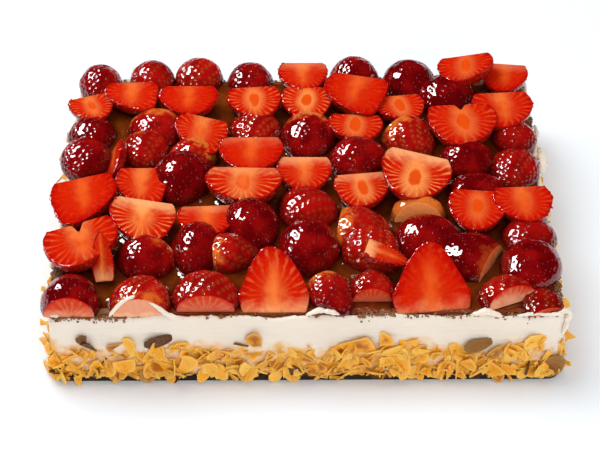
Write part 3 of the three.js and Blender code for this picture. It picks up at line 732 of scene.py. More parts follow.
SKIN_PART, FLESH_PART, TRIM_PART, SEED_PART = range(4)
SEEN_RINGS = (0.975, 0.93, 0.86, 0.77, 0.66, 0.54, 0.42, 0.3, 0.18, 0.08)
HIDDEN_RINGS = (0.96,)
RIM_SMOOTHINGS = 2
GOLDEN_ANGLE = pi * (3 - sqrt(5))
SEED_MARGIN = 1.1
SEED_SINK = 0.75
DEFAULTS = dict(
    tip=0, roll=0, lift=0, blunt=1.5, notch=0, on=False,
    ripe=0.5, shoulder=0.0, seedy=1.0, pale=0.3, core=0.3, band=0.0, middle=0.42,
)
THICK = {FACE: 0.8, SKIN: 0.92, QUARTER: 0.9}


def berry_pieces():
    """Every piece with its sizes, its place and the solid that it stands for."""
    pieces = []
    for c, column in enumerate(COLUMNS):
        for r, (lies, across, y, width, length, turn, extra) in enumerate(column):
            number = 10 * c + r
            lean = (trait(number, 1) - 0.5) * 0.12 * width
            sizes = dict(width=width, length=length, lean=lean, thick=THICK[lies])
            place = dict(lies=lies, x=(c - MIDDLE_COLUMN) * COLUMN_PITCH + across, y=y, turn=turn)
            piece = {**DEFAULTS, **sizes, **place, **extra, "number": number}
            piece["name"] = f"berry_{c + 1}_{r + 1}"
            piece["node"] = f"strawberry_{c + 1}_{r + 1}"
            if piece["on"]:
                joined = pieces[-1]["node"].replace("strawberry_", "strawberry_pair_")
                pieces[-1]["node"] = piece["node"] = joined
            pieces.append(piece)
    return pieces


def berry_point(direction, piece):
    """Moves a point of the unit ball to the whole strawberry, which lies along +Y from its
    trimmed end at Y = 0 to its pointed end."""
    x, along, z = direction
    ring = hypot(x, z) or 1
    full = sqrt(max(0, 1 - abs(along) ** (piece["blunt"] if along > 0 else 2)))
    radius = full * piece["width"] / 2
    ahead = 1 - WIDEST if along > 0 else SHOULDER
    side = radius * x / ring + piece["lean"] * max(0, along) ** 2
    up = radius * piece["thick"] * z / ring
    return Vector((side, piece["length"] * (WIDEST + along * ahead), up))


def slice_flat(bm, inside, point, normal, part, rings):
    """Cuts off what lies beyond a plane and closes the cut with rings of faces."""
    cut_off(bm, point, normal, 0.12)
    rim = open_edges(bm.edges)
    if not rim:
        return
    verts = [vert for vert in bm.verts if vert.is_boundary]
    centre = sum((vert.co for vert in verts), Vector()) / len(verts)
    known = set(bm.faces)
    share = 1.0
    for following in rings:
        verts, rim = grown_rim(bm, rim)
        for vert in verts:
            vert.co = centre + (vert.co - centre) * following / share
            vert[inside] = 1 - following
        share = following
    bmesh.ops.contextual_create(bm, geom=rim)
    for face in set(bm.faces) - known:
        face.material_index = part


def cut_berry(piece, detail):
    """A strawberry's half or quarter, closed, with its rims rounded."""
    bm = bmesh.new()
    inside = bm.verts.layers.float.new("inside")
    bmesh.ops.create_icosphere(bm, subdivisions=detail, radius=1.0)
    for vert in bm.verts:
        vert.co = berry_point(vert.co, piece)
    rings = HIDDEN_RINGS if piece["lies"] == SKIN else SEEN_RINGS
    cuts = ((1, 0, -1), (-1, 0, -1)) if piece["lies"] == QUARTER else ((0, 0, -1),)
    for away in cuts:
        slice_flat(bm, inside, (0, 0, 0), away, FLESH_PART, rings)
    slice_flat(bm, inside, (0, 0, 0), (0, -1, 0), TRIM_PART, SEEN_RINGS)
    if piece["lies"] == QUARTER:
        for vert in bm.verts:
            vert[inside] = max(vert[inside], 1 - 2.2 * hypot(vert.co.x, vert.co.z) / piece["width"])
    matrix = berry_matrix(piece, bm)
    rims = [vert for vert in bm.verts if len({face.material_index for face in vert.link_faces}) > 1]
    for _ in range(RIM_SMOOTHINGS):
        bmesh.ops.smooth_vert(
            bm, verts=rims, factor=0.5, use_axis_x=True, use_axis_y=True, use_axis_z=True
        )
    down = matrix.to_3x3().transposed() @ Vector((0, 0, -1))
    floor = matrix.inverted() @ Vector((0, 0, TART_TOP + 0.1))
    slice_flat(bm, inside, floor, down, SKIN_PART, HIDDEN_RINGS)
    bmesh.ops.recalc_face_normals(bm, faces=bm.faces)
    if piece["notch"]:
        for vert in bm.verts:
            fade = max(0, 1 - vert.co.y / (3 * piece["notch"]))
            vert.co.y += piece["notch"] * exp(-((vert.co.x / 2.2) ** 2)) * fade
    bmesh.ops.triangulate(bm, faces=bm.faces)
    return bm, matrix


def above_cut(piece, x, z):
    """How far a point stands off the lengthwise cut."""
    return (z - abs(x)) / sqrt(2) if piece["lies"] == QUARTER else z


def seed_places(piece, spacing):
    """Points on the kept skin in a spiral from the trimmed end to the pointed end."""
    count = int(3.0 * piece["width"] * piece["length"] / spacing**2)
    places = []
    for k in range(count):
        along = 1 - 2 * (k + 0.5) / count
        turn = k * GOLDEN_ANGLE + piece["number"] + 0.12 * sin(k * 2.1)
        ring = sqrt(1 - along**2)
        place = berry_point((ring * cos(turn), along, ring * sin(turn)), piece)
        if above_cut(piece, place.x, place.z) > SEED_MARGIN and place.y > SEED_MARGIN:
            places.append(place)
    return places


def dimpled_mesh(bm, piece, sizes):
    """The strawberry with uneven skin and a pit for each seed, and its seeds in a mesh."""
    mesh = mesh_of(bm, piece["name"])
    places, normals = vertex_values(mesh), vertex_values(mesh, "normal")
    seeds = seed_places(piece, sizes.seed_spacing / MM)
    above = above_cut(piece, places[:, 0], places[:, 2])
    fade = smoothstep(above, -0.1, 0.9) * smoothstep(places[:, 1], -0.1, 0.9)
    gaps = np.linalg.norm(places[:, None] - np.array(seeds)[None], axis=2)
    pit = np.exp(-((gaps.min(axis=1) / (sizes.dimple_radius / MM)) ** 2)) * fade
    offset = Vector((piece["number"] * 7.3, 0, 0))
    lumps, ripples = (
        np.array([noise.noise(Vector(place) * scale + offset) for place in places])
        for scale in (0.14, 0.55)
    )
    depth = sizes.dimple_depth / MM * piece["seedy"]
    lift = sizes.berry_lumps / MM * (1.3 * lumps + 0.3 * ripples) * fade - depth * pit
    mesh.vertices.foreach_set("co", (places + normals * lift[:, None]).ravel())
    set_attribute(mesh, "dimple", pit)
    nearest = normals[gaps.argmin(axis=0)]
    return mesh, seeds_in_pits(seeds, nearest, depth, sizes.seed_length / MM)


def seed_template():
    """A pointed seed along +Y, half sunk in its pit."""
    bm = bmesh.new()
    bmesh.ops.create_icosphere(bm, subdivisions=1, radius=0.5)
    for vert in bm.verts:
        vert.co.x *= 0.62 * (1 - 0.5 * vert.co.y)
        vert.co.z *= 0.42
    return small_shape(bm, "seed")


def seeds_in_pits(seeds, normals, depth, size):
    template = seed_template()
    copies = []
    for seed, normal in zip(seeds, normals):
        up = Vector(normal)
        side = Vector((0, 1, 0)).cross(up).normalized()
        turned = Matrix((side, up.cross(side), up)).transposed().to_4x4()
        at = Matrix.Translation(seed - up * (depth * SEED_SINK))
        copies.append((template, at @ turned @ Matrix.Scale(size, 4), (0, 0, 0)))
    return joined_copies("seeds", copies)


def berry_matrix(piece, bm):
    """Turns a piece to lie as it says and sets it down on the slab."""
    flip = 0 if piece["lies"] == SKIN else 180
    turn = Matrix.Rotation(radians(piece["turn"] - 90), 4, "Z")
    tip = Matrix.Rotation(radians(piece["tip"]), 4, "X")
    roll = Matrix.Rotation(radians(flip + piece["roll"]), 4, "Y")
    turned = turn @ tip @ roll @ Matrix.Translation((0, -piece["length"] * WIDEST, 0))
    lowest = min((turned @ vert.co).z for vert in bm.verts)
    sink = -FIT_GAP if piece["lies"] == SKIN else BERRY_SINK
    height = TART_TOP - sink - lowest + piece["lift"]
    return Matrix.Translation((piece["x"], piece["y"], height)) @ turned


def berry_mesh(piece, sizes):
    """The finished mesh of one piece, with the attributes that its materials read."""
    bm, matrix = cut_berry(piece, sizes.berry_detail)
    mesh, seeds = dimpled_mesh(bm, piece, sizes)
    whole = bmesh.new()
    whole.from_mesh(mesh)
    body = len(whole.faces)
    whole.from_mesh(seeds)
    whole.faces.ensure_lookup_table()
    for face in whole.faces[body:]:
        face.material_index = SEED_PART
    for face in whole.faces:
        face.smooth = True
    whole.to_mesh(mesh)
    whole.free()
    bpy.data.meshes.remove(seeds)
    store_tones(mesh, piece)
    mesh.transform(matrix)
    return mesh


def store_tones(mesh, piece):
    """Gives each vertex its place on the strawberry and the strawberry's own colours."""
    places = vertex_values(mesh)
    half = piece["width"] / 2
    set_attribute(mesh, "berry", places / (half, piece["length"], half))
    off = (places - (0, piece["middle"] * piece["length"], 0)) / half
    off[:, 0] = np.copysign(np.hypot(off[:, 0], off[:, 2]), off[:, 0])
    set_attribute(mesh, "core", off)
    if "tone" in mesh.attributes:
        mesh.attributes.remove(mesh.attributes["tone"])
    set_attribute(mesh, "tone", (piece["ripe"], piece["shoulder"], piece["seedy"]))
    set_attribute(mesh, "cut_tone", (piece["ripe"], piece["pale"], piece["core"]))
    set_attribute(mesh, "cut_trait", (piece["band"], 40 * trait(piece["number"], 3), 0))


# ---- Almond flakes --------------------------------------------------------------

# A flake's shape is one unit long. The first shapes are whole slices, the others broken.
FLAKE_DEPTH = 0.09
FLAKE_RIM = 0.045
THINNING = 0.62
WHOLE_SLICES = 2

# Least, most and usual size of the small flakes in the band, in the row along the foot and of
# the bits on the ledge, in millimetres. The row and the bits are fewer than the band's flakes.
BAND_SIZES = (6.5, 17.5, 11)
ROW_SIZES = (6, 13, 8)
BIT_SIZES = (1.5, 5.5, 2.6)
BAND_PER_ROW = 11
BAND_PER_BIT = 2
BAND_BOTTOM = 3.5
BAND_HEIGHT = 22
EDGE_ON_CHANCE = 0.15
OVERHANG_CHANCE = 0.42

# Small flakes keep clear of the brown ones on the front: a share of the length, and a height.
CLEAR_SHARE = 0.42
CLEAR_HEIGHT = 4
BROWN = 0.7


def flake_template(corners, bend, breaks=(), slim=1.0):
    """A slice of an almond in a unit square: egg-shaped, curled, with straight broken sides."""
    bm = bmesh.new()
    inside = bm.verts.layers.float.new("inside")
    bmesh.ops.create_circle(bm, segments=corners, radius=0.5, cap_ends=True)
    for vert in bm.verts:
        vert.co.y *= slim * (1 - 0.44 * vert.co.x)
    for turn, reach in breaks:
        out = Vector((cos(turn), sin(turn), 0))
        cut_off(bm, out * reach, out, 0.001)
    outer = set(bm.verts)
    bmesh.ops.inset_region(bm, faces=bm.faces[:], thickness=FLAKE_RIM, use_even_offset=True)
    for vert in set(bm.verts) - outer:
        vert[inside] = 0.5
    middle = bmesh.ops.poke(bm, faces=[max(bm.faces, key=lambda face: face.calc_area())])
    for vert in middle["verts"]:
        vert[inside] = 1.0
    for vert in grown_rim(bm, open_edges(bm.edges))[0]:
        vert.co.z -= FLAKE_DEPTH
    bmesh.ops.contextual_create(bm, geom=open_edges(bm.edges))
    for vert in bm.verts:
        vert.co.z += FLAKE_DEPTH / 2 + 1.5 * bend * (vert.co.x**2 + 0.5 * vert.co.y**2 - 0.12)
    return small_shape(bm, "flake")


def flake_templates():
    return (
        flake_template(12, 0.25),
        flake_template(11, -0.30, slim=0.85),
        flake_template(9, 0.30, ((2.6, 0.10),)),
        flake_template(9, -0.35, ((0.5, 0.06), (4.2, 0.15))),
        flake_template(8, 0.35, ((1.7, 0.07), (3.6, 0.20)), slim=1.2),
        flake_template(8, 0.55, ((0.2, 0.02),), slim=0.8),
        flake_template(8, -0.25, ((0.3, 0.10), (2.4, 0.05), (4.4, 0.12)), slim=1.15),
        flake_template(8, 0.30, ((1.1, 0.02), (3.0, 0.16), (5.0, 0.06)), slim=1.3),
        flake_template(8, 0.60, ((0.8, 0.14), (3.9, 0.02)), slim=1.0),
        flake_template(7, 0.15, ((1.9, 0.04), (4.9, 0.08)), slim=1.3),
    )


def lifted(shape, matrix, floor):
    """Raises a flake that would reach below a height."""
    lowest = min((matrix @ vert.co).z for vert in shape.vertices)
    return Matrix.Translation((0, 0, max(0, floor - lowest))) @ matrix


def repeatable_stream(seed):
    """A repeatable stream of random numbers from 0 to 1, by 32-bit steps."""
    full = 0xFFFFFFFF
    state = seed
    while True:
        state = (state + 0x6D2B79F5) & full
        step = ((state ^ (state >> 15)) * (1 | state)) & full
        step = ((step + (((step ^ (step >> 7)) * (61 | step)) & full)) & full) ^ step
        yield ((step ^ (step >> 14)) & full) / 4294967296


def flake_matrix(distance, height, out_by, turns, length, width):
    """A flake against the coat: its face looks outwards, then turns = (x, y, spin) tip it."""
    at, out = edge_point(distance)
    facing = Matrix(((-out.y, 0, out.x), (out.x, 0, out.y), (0, 1, 0))).to_4x4()
    x, y, spin = (Matrix.Rotation(turn, 4, axis) for turn, axis in zip(turns, "XYZ"))
    place = at + out * out_by
    size = Matrix.Diagonal((length, width, ALMOND_THICKNESS / FLAKE_DEPTH * THINNING, 1))
    return Matrix.Translation((place.x, place.y, height)) @ facing @ x @ y @ spin @ size


def large_flakes(templates):
    """The flakes that the coat's solid has too."""
    draw = repeatable_stream(ALMOND_SEED)
    pick = random.Random(5)
    copies = []

    def spread(reach):
        return (next(draw) - 0.5) * 2 * reach

    for t, tier in enumerate(ALMOND_TIERS):
        for n in range(ALMOND_COUNT):
            share = (n + t / len(ALMOND_TIERS) + spread(0.3)) / ALMOND_COUNT
            size = 0.8 + 0.35 * next(draw)
            length = ALMOND_LENGTH * size
            tips = (spread(0.55), spread(0.4))
            out_by = 0.9 + 0.8 * next(draw)
            spin = next(draw) * pi
            height = max(tier + spread(2), 0.42 * length)
            distance = (share + 1) % 1 * EDGE_LENGTH
            matrix = flake_matrix(distance, height, out_by, (*tips, spin), length, ALMOND_WIDTH * size)
            whole = pick.random() < 0.2
            shape = pick.choice(templates[:WHOLE_SLICES] if whole else templates[WHOLE_SLICES:])
            copies.append((shape, matrix, flake_tone(pick)))
    return copies


def flake_tone(pick):
    """How toasted and how pale a flake is, and whether its brown skin shows."""
    toast = pick.triangular(-0.15, 1.45, 0.3)
    pale = max(0, pick.gauss(0.15, 0.5))
    skin = 1.0 if pick.random() < 0.02 else 0.0
    return toast, pale, skin


def small_flakes(templates, count):
    """Broken flakes that fill the band between the large ones, some of them nearly edge-on,
    then a row along the foot, and bits that lie on the base's ledge."""
    pick = random.Random(11)
    brown = [flake for flake in FRONT_FLAKES if flake[-1][2] > BROWN]
    clear = [
        (side_distance("front", x), height, CLEAR_SHARE * length)
        for _, x, height, length, *_ in brown
    ]
    copies = []

    def some_turns(lean, spread):
        return [pick.gauss(lean, spread), pick.gauss(0, spread), pick.uniform(0, 2 * pi)]

    def bit(shapes, floor, *place):
        shape, matrix = pick.choice(shapes), flake_matrix(*place)
        floor = floor or (TABLE_GAP if pick.random() < OVERHANG_CHANCE else BASE_HIGH.z + 0.2)
        copies.append((shape, lifted(shape, matrix, floor), flake_tone(pick)))

    for n in range(count):
        distance = (n + pick.random()) / count * EDGE_LENGTH
        share = pick.random() ** 1.25
        height = BAND_BOTTOM + BAND_HEIGHT * share + 3.0 * sin(distance / 17) * share
        if any(
            hypot((distance - at) / reach, (height - rise) / CLEAR_HEIGHT) < 1
            for at, rise, reach in clear
        ):
            continue
        size = pick.triangular(*BAND_SIZES)
        turns = some_turns(0.05, 0.4)
        if pick.random() < EDGE_ON_CHANCE:
            turns[pick.randrange(2)] += pick.choice((-0.9, 0.9))
        out_by = pick.uniform(-0.2, 2.6) * (1.1 - 0.6 * share)
        width = size * pick.uniform(0.7, 1.02)
        bit(templates[WHOLE_SLICES - 1 :], None, distance, height, out_by, turns, size, width)
    row = count // BAND_PER_ROW
    for n in range(row):
        distance, size = (n + pick.random()) / row * EDGE_LENGTH, pick.triangular(*ROW_SIZES)
        turns = some_turns(-0.15, 0.25)
        height, out_by = pick.uniform(2.5, 6), pick.uniform(1.3, 2.4)
        shapes = templates[WHOLE_SLICES - 1 :]
        bit(shapes, TABLE_GAP, distance, height, out_by, turns, size, size * 0.8)
    for _ in range(count // BAND_PER_BIT):
        distance, size = pick.random() * EDGE_LENGTH, pick.triangular(*BIT_SIZES)
        turns = some_turns(-0.9, 0.4)
        height, out_by = BASE_HIGH.z + 0.6, pick.uniform(-0.8, 1.2)
        shapes = templates[WHOLE_SLICES:]
        bit(shapes, BASE_HIGH.z, distance, height, out_by, turns, size, size * 0.8)
    return copies


# Flakes set one by one on the front: (shape, X, height, length, width, spin in degrees, tone).
FRONT_FLAKES = (
    (1, -79, 31, 18.5, 9, 12, (0.5, 0.0, 1.0)),
    (1, 94, 27, 17.5, 10, 14, (0.5, 0.0, 0.8)),
    (5, -119, 31, 12, 8, -25, (0.6, 0.0, 0.9)),
    (3, -116, 26, 15, 8, -22, (0.6, 0.0, 1.0)),
    (3, -103, 28, 13, 9, 60, (0.95, 0.0, 0.3)),
    (2, -29, 29, 20, 11, 80, (1.1, 0.0, 0.2)),
    (8, -35, 28, 10, 6, 25, (0.6, 0.0, 0.9)),
    (2, 27, 29, 24, 15, -25, (0.9, 0.0, 0.0)),
    (4, 41, 30, 13, 13, 80, (0.75, 0.0, 0.0)),
    (6, 58, 29, 17, 17, 90, (0.45, 0.3, 0.0)),
    (7, 71, 25, 17, 15, 80, (0.35, 0.0, 0.0)),
    (3, 118, 27, 20, 17, 75, (0.8, 0.0, 0.0)),
    (1, 103, 22, 12, 8, 55, (0.8, 0.1, 0.4)),
    (0, 134, 12, 20, 14.5, 62, (0.9, 0.0, 0.72)),
    (9, 129, 16, 19, 15, 55, (0.35, 0.3, 0.0)),
    (2, -97, 27, 14, 11, 70, (0.3, 0.5, 0.0)),
    (2, -99, 16, 15, 12, -50, (0.35, 0.2, 0.0)),
    (3, -78, 21, 17, 16, 0, (0.35, 0.1, 0.0)),
    (2, -67, 15, 18, 14, 20, (0.3, 0.5, 0.0)),
    (5, -86, 9.5, 20, 13, 85, (1.0, 0.0, 0.4)),
    (2, -53.5, 10, 15, 12, 60, (0.25, 0.5, 0.0)),
    (1, -47, 8, 13, 10, -60, (0.3, 0.3, 0.0)),
    (3, 1, 18, 16, 13, 20, (0.85, 0.0, 0.2)),
    (5, 18.5, 10, 13, 9, 0, (0.95, 0.0, 0.4)),
    (2, 50, 12, 19, 16, 60, (0.2, 0.2, 0.0)),
    (6, 71, 6.5, 17, 13, 75, (0.35, 0.3, 0.0)),
    (4, 86, 15, 17, 15, 50, (0.4, 0.2, 0.0)),
)

# Flakes that stand out from the other sides: (side, Y, height, out from the side, shape,
# length, width, spin in degrees, tone).
SIDE_FLAKES = (
    ("left", 76, 25, 6, 2, 12, 8, 20, (0.1, 0.6, 0.0)),
    ("left", 53, 26, 6, 5, 15, 11, 80, (0.1, 0.7, 0.0)),
    ("left", 34, 25, 8, 9, 14, 8, 35, (0.5, 0.2, 0.0)),
    ("left", -93, 29, 4.6, 6, 21, 16, 35, (0.35, 0.2, 0.0)),
    ("left", -98, 16, 3, 2, 16, 12, 60, (0.2, 0.5, 0.0)),
    ("left", -60, 20, 4, 3, 14, 10, 10, (0.3, 0.2, 0.0)),
    ("right", -96, 21, 5, 4, 17, 14, 10, (0.3, 0.4, 0.0)),
    ("right", -84, 30, 2.5, 2, 12, 9, 80, (0.3, 0.4, 0.0)),
)


def front_flakes(templates):
    pick = random.Random(3)
    copies = []
    for shape, x, height, length, width, spin, tone in FRONT_FLAKES:
        turns = (pick.gauss(0, 0.15), pick.gauss(0, 0.2), radians(spin))
        out_by = 2.6 if height < 25 else 1.4
        matrix = flake_matrix(side_distance("front", x), height, out_by, turns, length, width)
        copies.append((templates[shape], matrix, tone))
    return copies


def side_flakes(templates):
    copies = []
    for side, y, height, out_by, shape, length, width, spin, tone in SIDE_FLAKES:
        turns = (0.2, 1.15, radians(spin))
        matrix = flake_matrix(side_distance(side, y), height, out_by, turns, length, width)
        copies.append((templates[shape], matrix, tone))
    return copies


# ---- Cream -----------------------------------------------------------------------

# The coat's section: (share of the way round it, share of its thickness, share of its height).
COAT_SECTION = (
    (0.00, 0.0, 0.0),
    (0.05, 0.85, 0.0),
    (0.10, 1.04, 0.06),
    (0.36, 1.06, 0.42),
    (0.44, 1.0, 0.54),
    (0.50, 0.94, 0.62),
    (0.76, 0.88, 0.90),
    (0.82, 0.80, 0.965),
    (0.87, 0.58, 1.0),
    (0.92, 0.30, 0.99),
    (0.97, 0.0, 0.96),
    (1.00, 0.0, 0.0),
)
COAT_STEP = 1.5
COAT_POINTS = 40


def coat_waves(distance):
    """The unevenness that a palette knife leaves in the coat's face, rim and foot."""
    a = 2 * pi * distance / EDGE_LENGTH
    face = 0.4 * sin(5 * a + 1) + 0.3 * sin(13 * a) + 0.2 * sin(29 * a + 2)
    rim = 0.7 * sin(9 * a + 0.6) + 0.5 * sin(23 * a + 1.7) + 0.4 * sin(41 * a)
    foot = 0.8 * max(0, sin(11 * a + 2)) + 0.5 * max(0, sin(27 * a))
    return face, rim, foot


def coat_mesh(sizes):
    """The cream as a grid that is wrapped round the tart's edge and closed both ways."""
    shares, reaches, rises = zip(*COAT_SECTION)
    strokes, lumps = sizes.cream_strokes / MM, sizes.cream_lumps / MM
    bm = bmesh.new()
    stations = ceil(EDGE_LENGTH / COAT_STEP)
    bmesh.ops.create_grid(bm, x_segments=stations, y_segments=COAT_POINTS, size=0.5)
    for vert in bm.verts:
        distance = (vert.co.x + 0.5) % 1 * EDGE_LENGTH
        share = (vert.co.y + 0.5) % 1 if abs(vert.co.y) < 0.5 - 1e-6 else 0.0
        at, out = edge_point(distance)
        face, rim, foot = coat_waves(distance)
        reach, rise = np.interp(share, shares, reaches), np.interp(share, shares, rises)
        bottom = CREAM_BOTTOM + foot
        height = bottom + rise * (TART_TOP + rim - bottom)
        spot = Vector((at.x, at.y, height))
        out_by = FIT_GAP - CREAM_THICKNESS
        if reach > 0:
            shallow = min(reach, 1) ** 2
            stroke = noise.noise(Vector((spot.x / 16, spot.y / 16, height / 2.4))) * strokes
            grain = noise.noise(spot / 2.2) * strokes * 0.35
            lump = max(0, noise.noise(spot / 4.5) + 0.25) * lumps * smoothstep(height, 30, 22)
            out_by += reach * (CREAM_THICKNESS + face) + (stroke + grain + lump) * shallow
            ragged = noise.noise(Vector((spot.x / 2.6, spot.y / 2.6, 4))) * 1.1
            height += smoothstep(rise, 0.86, 1.0) * (ragged + 0.5 * noise.noise(spot / 1.1))
        vert.co = (at.x + out.x * out_by, at.y + out.y * out_by, height)
    bmesh.ops.remove_doubles(bm, verts=bm.verts, dist=0.01)
    bmesh.ops.recalc_face_normals(bm, faces=bm.faces)
    return mesh_of(bm, "cream", smooth=True)


RIBBON_STEPS = 36
RIBBON_SIDES = 12

# Cream pulled up over the rim: points (X, Y, Z, radius) along each ribbon.
RIBBONS = (
    (
        (-106, -110, 48, 1.2), (-101, -108.6, 55, 1.3), (-96.5, -107.2, 58.8, 1.2),
        (-91, -105.2, 59.8, 1.1), (-87.5, -106.5, 58, 0.6),
    ),
    (
        (-84, -107.8, 57.5, 0.5), (-80, -108.4, 55.5, 1.1), (-76, -109.2, 51.5, 1.6),
        (-71, -110, 48, 1.8), (-65, -110, 46.4, 1.4),
    ),
    (
        (-1, -108, 47, 1.1), (3.5, -107.5, 49, 1.5), (7.5, -107.2, 50.8, 1.9),
        (10.5, -107.2, 49.6, 1.3), (13.5, -107.5, 50, 1.8), (19, -108, 47.2, 1.1),
    ),
    (
        (88, -108, 46.5, 1.2), (92, -108, 48.8, 1.8), (96, -108, 50.2, 2.3),
        (100.5, -108.5, 49, 1.9), (106, -109, 46.5, 1.3),
    ),
    (
        (112, -108, 46.4, 0.9), (118, -108, 47, 1.0), (123, -107.5, 48.2, 1.3),
        (128, -108, 47, 1.0), (133, -108.5, 48, 1.2), (138, -109, 48.6, 1.6),
    ),
    (
        (134, -108, 48, 1.2), (139.5, -106.5, 48.4, 1.7), (142, -104.5, 46.5, 1.9),
        (141.4, -106, 42, 1.8), (140, -107.6, 37, 1.6), (138, -109, 32, 1.0),
    ),
    ((-140.6, -54, 45.4, 0.9), (-141.2, -61, 45.5, 1.6), (-140.8, -68, 45.5, 0.9)),
    ((-140.4, -92, 45.6, 1.1), (-140, -98, 45.6, 1.9), (-137, -106, 45.4, 2.0)),
    (
        (-132, -107.6, 47, 1.4), (-136, -106, 47.4, 1.9),
        (-138.6, -101, 47, 1.8), (-139, -93, 47.4, 1.4),
    ),
    ((140.4, 60, 45.6, 0.9), (141.2, 53, 45.5, 1.5), (141.0, 47, 45, 1.0)),
    ((141, 42, 43, 1.4), (142.6, 35, 42, 2.6), (142.6, 27, 41, 2.6), (141, 18, 41, 1.4)),
)


def ribbon(points, number):
    """A soft ribbon of cream: a grid that is wrapped round the points' line and closed."""
    bm = bmesh.new()
    bmesh.ops.create_grid(bm, x_segments=RIBBON_STEPS, y_segments=RIBBON_SIDES, size=0.5)
    knots = np.linspace(0, 1, len(points))

    def along(share):
        return [np.interp(share, knots, values) for values in zip(*points)]

    for vert in bm.verts:
        share, turn = vert.co.x + 0.5, (vert.co.y + 0.5) * 2 * pi
        *place, radius = along(share)
        back, on = Vector(along(share - 0.12)[:3]), Vector(along(share + 0.12)[:3])
        middle = (Vector(place) * 2 + back + on) / 4
        ahead = (on - back).normalized()
        side = ahead.cross(Vector((0, 0, 1))).normalized()
        around = side * cos(turn) + side.cross(ahead) * sin(turn) * 0.75
        uneven = 1 + 0.4 * noise.noise(middle / 2.1 + around * 0.6 + Vector((number * 9, 0, 0)))
        vert.co = middle + around * (radius * uneven * sqrt(max(0, 1 - (2 * share - 1) ** 6)))
    bmesh.ops.remove_doubles(bm, verts=bm.verts, dist=0.005)
    bmesh.ops.recalc_face_normals(bm, faces=bm.faces)
    return mesh_of(bm, "ribbon")


def ribbons_mesh():
    bm = bmesh.new()
    for number, points in enumerate(RIBBONS):
        bm.from_mesh(ribbon(points, number))
    return mesh_of(bm, "cream_ribbons", smooth=True)


# ---- Glaze and crumbs ---------------------------------------------------------------

GLAZE_CELL = 1.0
GLAZE_SOAK = 0.8
DROP_SIDES = 6
DROP_RINGS = 5
STRAY_CRUMBS = 300


def glaze_mesh(pieces, sizes):
    """A film over the sponge that climbs up the fruit and fades out at the rim."""
    places = np.concatenate([vertex_values(mesh) for mesh in pieces]) / MM
    near = places[(places[:, 2] > TART_TOP - 1) & (places[:, 2] < TART_TOP + 4)]
    tree = KDTree(len(near))
    for k, place in enumerate(near):
        tree.insert((place[0], place[1], 0), k)
    tree.balance()
    half_x, half_y = SPONGE_HIGH.x - 0.4, SPONGE_HIGH.y - 0.4
    bm = bmesh.new()
    fruit_shade = bm.verts.layers.float.new("near")
    columns, rows = int(2 * half_x / GLAZE_CELL), int(2 * half_y / GLAZE_CELL)
    bmesh.ops.create_grid(bm, x_segments=columns, y_segments=rows, size=1.0)
    film, climb = sizes.glaze_film / MM, sizes.glaze_climb / MM
    for vert in bm.verts:
        x, y = vert.co.x * half_x, vert.co.y * half_y
        border = min(half_x - abs(x), half_y - abs(y))
        away = tree.find((x, y, 0))[2]
        wave = noise.noise(Vector((x, y, 0)) / 7)
        shore = smoothstep(border + 3 * wave, 0.5, 3.5)
        ahead = smoothstep(half_y + y, 5.0, 12.0)
        height = film * (1 + 0.5 * wave) * max(ahead, 0.3) + climb * exp(-((away / 1.9) ** 2)) * ahead
        vert.co = (x, y, TART_TOP + height * shore - 0.5 * (1 - shore))
        # Painted shade: 'near' grows next to the fruit, where the glaze material darkens the gaps.
        vert[fruit_shade] = exp(-away / 7.5)
    for vert in grown_rim(bm, open_edges(bm.edges))[0]:
        vert.co.z = TART_TOP - GLAZE_SOAK
    bmesh.ops.contextual_create(bm, geom=open_edges(bm.edges))
    bmesh.ops.recalc_face_normals(bm, faces=bm.faces)
    return mesh_of(bm, "glaze", smooth=True)


def drop_template():
    bm = bmesh.new()
    bmesh.ops.create_uvsphere(bm, u_segments=DROP_SIDES, v_segments=DROP_RINGS, radius=0.5)
    return small_shape(bm, "drop")


def drops_mesh(pieces):
    """Beads of glaze along the cut rims of the fruit, most of them on the left."""
    pick = random.Random(17)
    template = drop_template()
    copies = []
    for mesh in pieces:
        places, normals = vertex_values(mesh) / MM, vertex_values(mesh, "normal")
        parts = {}
        for polygon in mesh.polygons:
            for vert in polygon.vertices:
                parts.setdefault(vert, set()).add(polygon.material_index)
        for vert in (vert for vert in sorted(parts) if {SKIN_PART, FLESH_PART} <= parts[vert]):
            place, up = Vector(places[vert]), Vector(normals[vert])
            draw, across, slim, spin = (
                pick.random(), pick.triangular(0.6, 2.2, 1.0), pick.uniform(1, 2), pick.uniform(0, pi)
            )
            if place.z < TART_TOP + 2 or draw > (0.5 if up.x < -0.2 else 0.15):
                continue
            turned = up.to_track_quat("Z", "Y").to_matrix().to_4x4() @ Matrix.Rotation(spin, 4, "Z")
            size = Matrix.Diagonal((across * slim, across, across * 0.5, 1))
            copies.append((template, Matrix.Translation(place - up * 0.1) @ turned @ size, (0, 0, 0)))
    return joined_copies("glaze_drops", copies)


def crumb_template(seed, detail):
    bm = bmesh.new()
    bmesh.ops.create_icosphere(bm, subdivisions=detail, radius=0.5)
    for vert in bm.verts:
        vert.co *= 1 + 0.9 * noise.noise(vert.co * 3 + Vector((seed, 0, 0)))
    return small_shape(bm, "crumb")


# Where crumbs lie thickest: (side, from, to, how many, how far they fall in mm).
CRUMB_ZONES = (
    ("front", -138, -96, 260, 3.0),
    ("front", 28, 48, 110, 4.0),
    ("front", 52, 90, 35, 1.5),
    ("front", 106, 140, 110, 5.0),
    ("left", -97, -62, 330, 0.6),
    ("right", -98, -66, 160, 0.6),
    ("right", 50, 66, 80, 0.6),
)


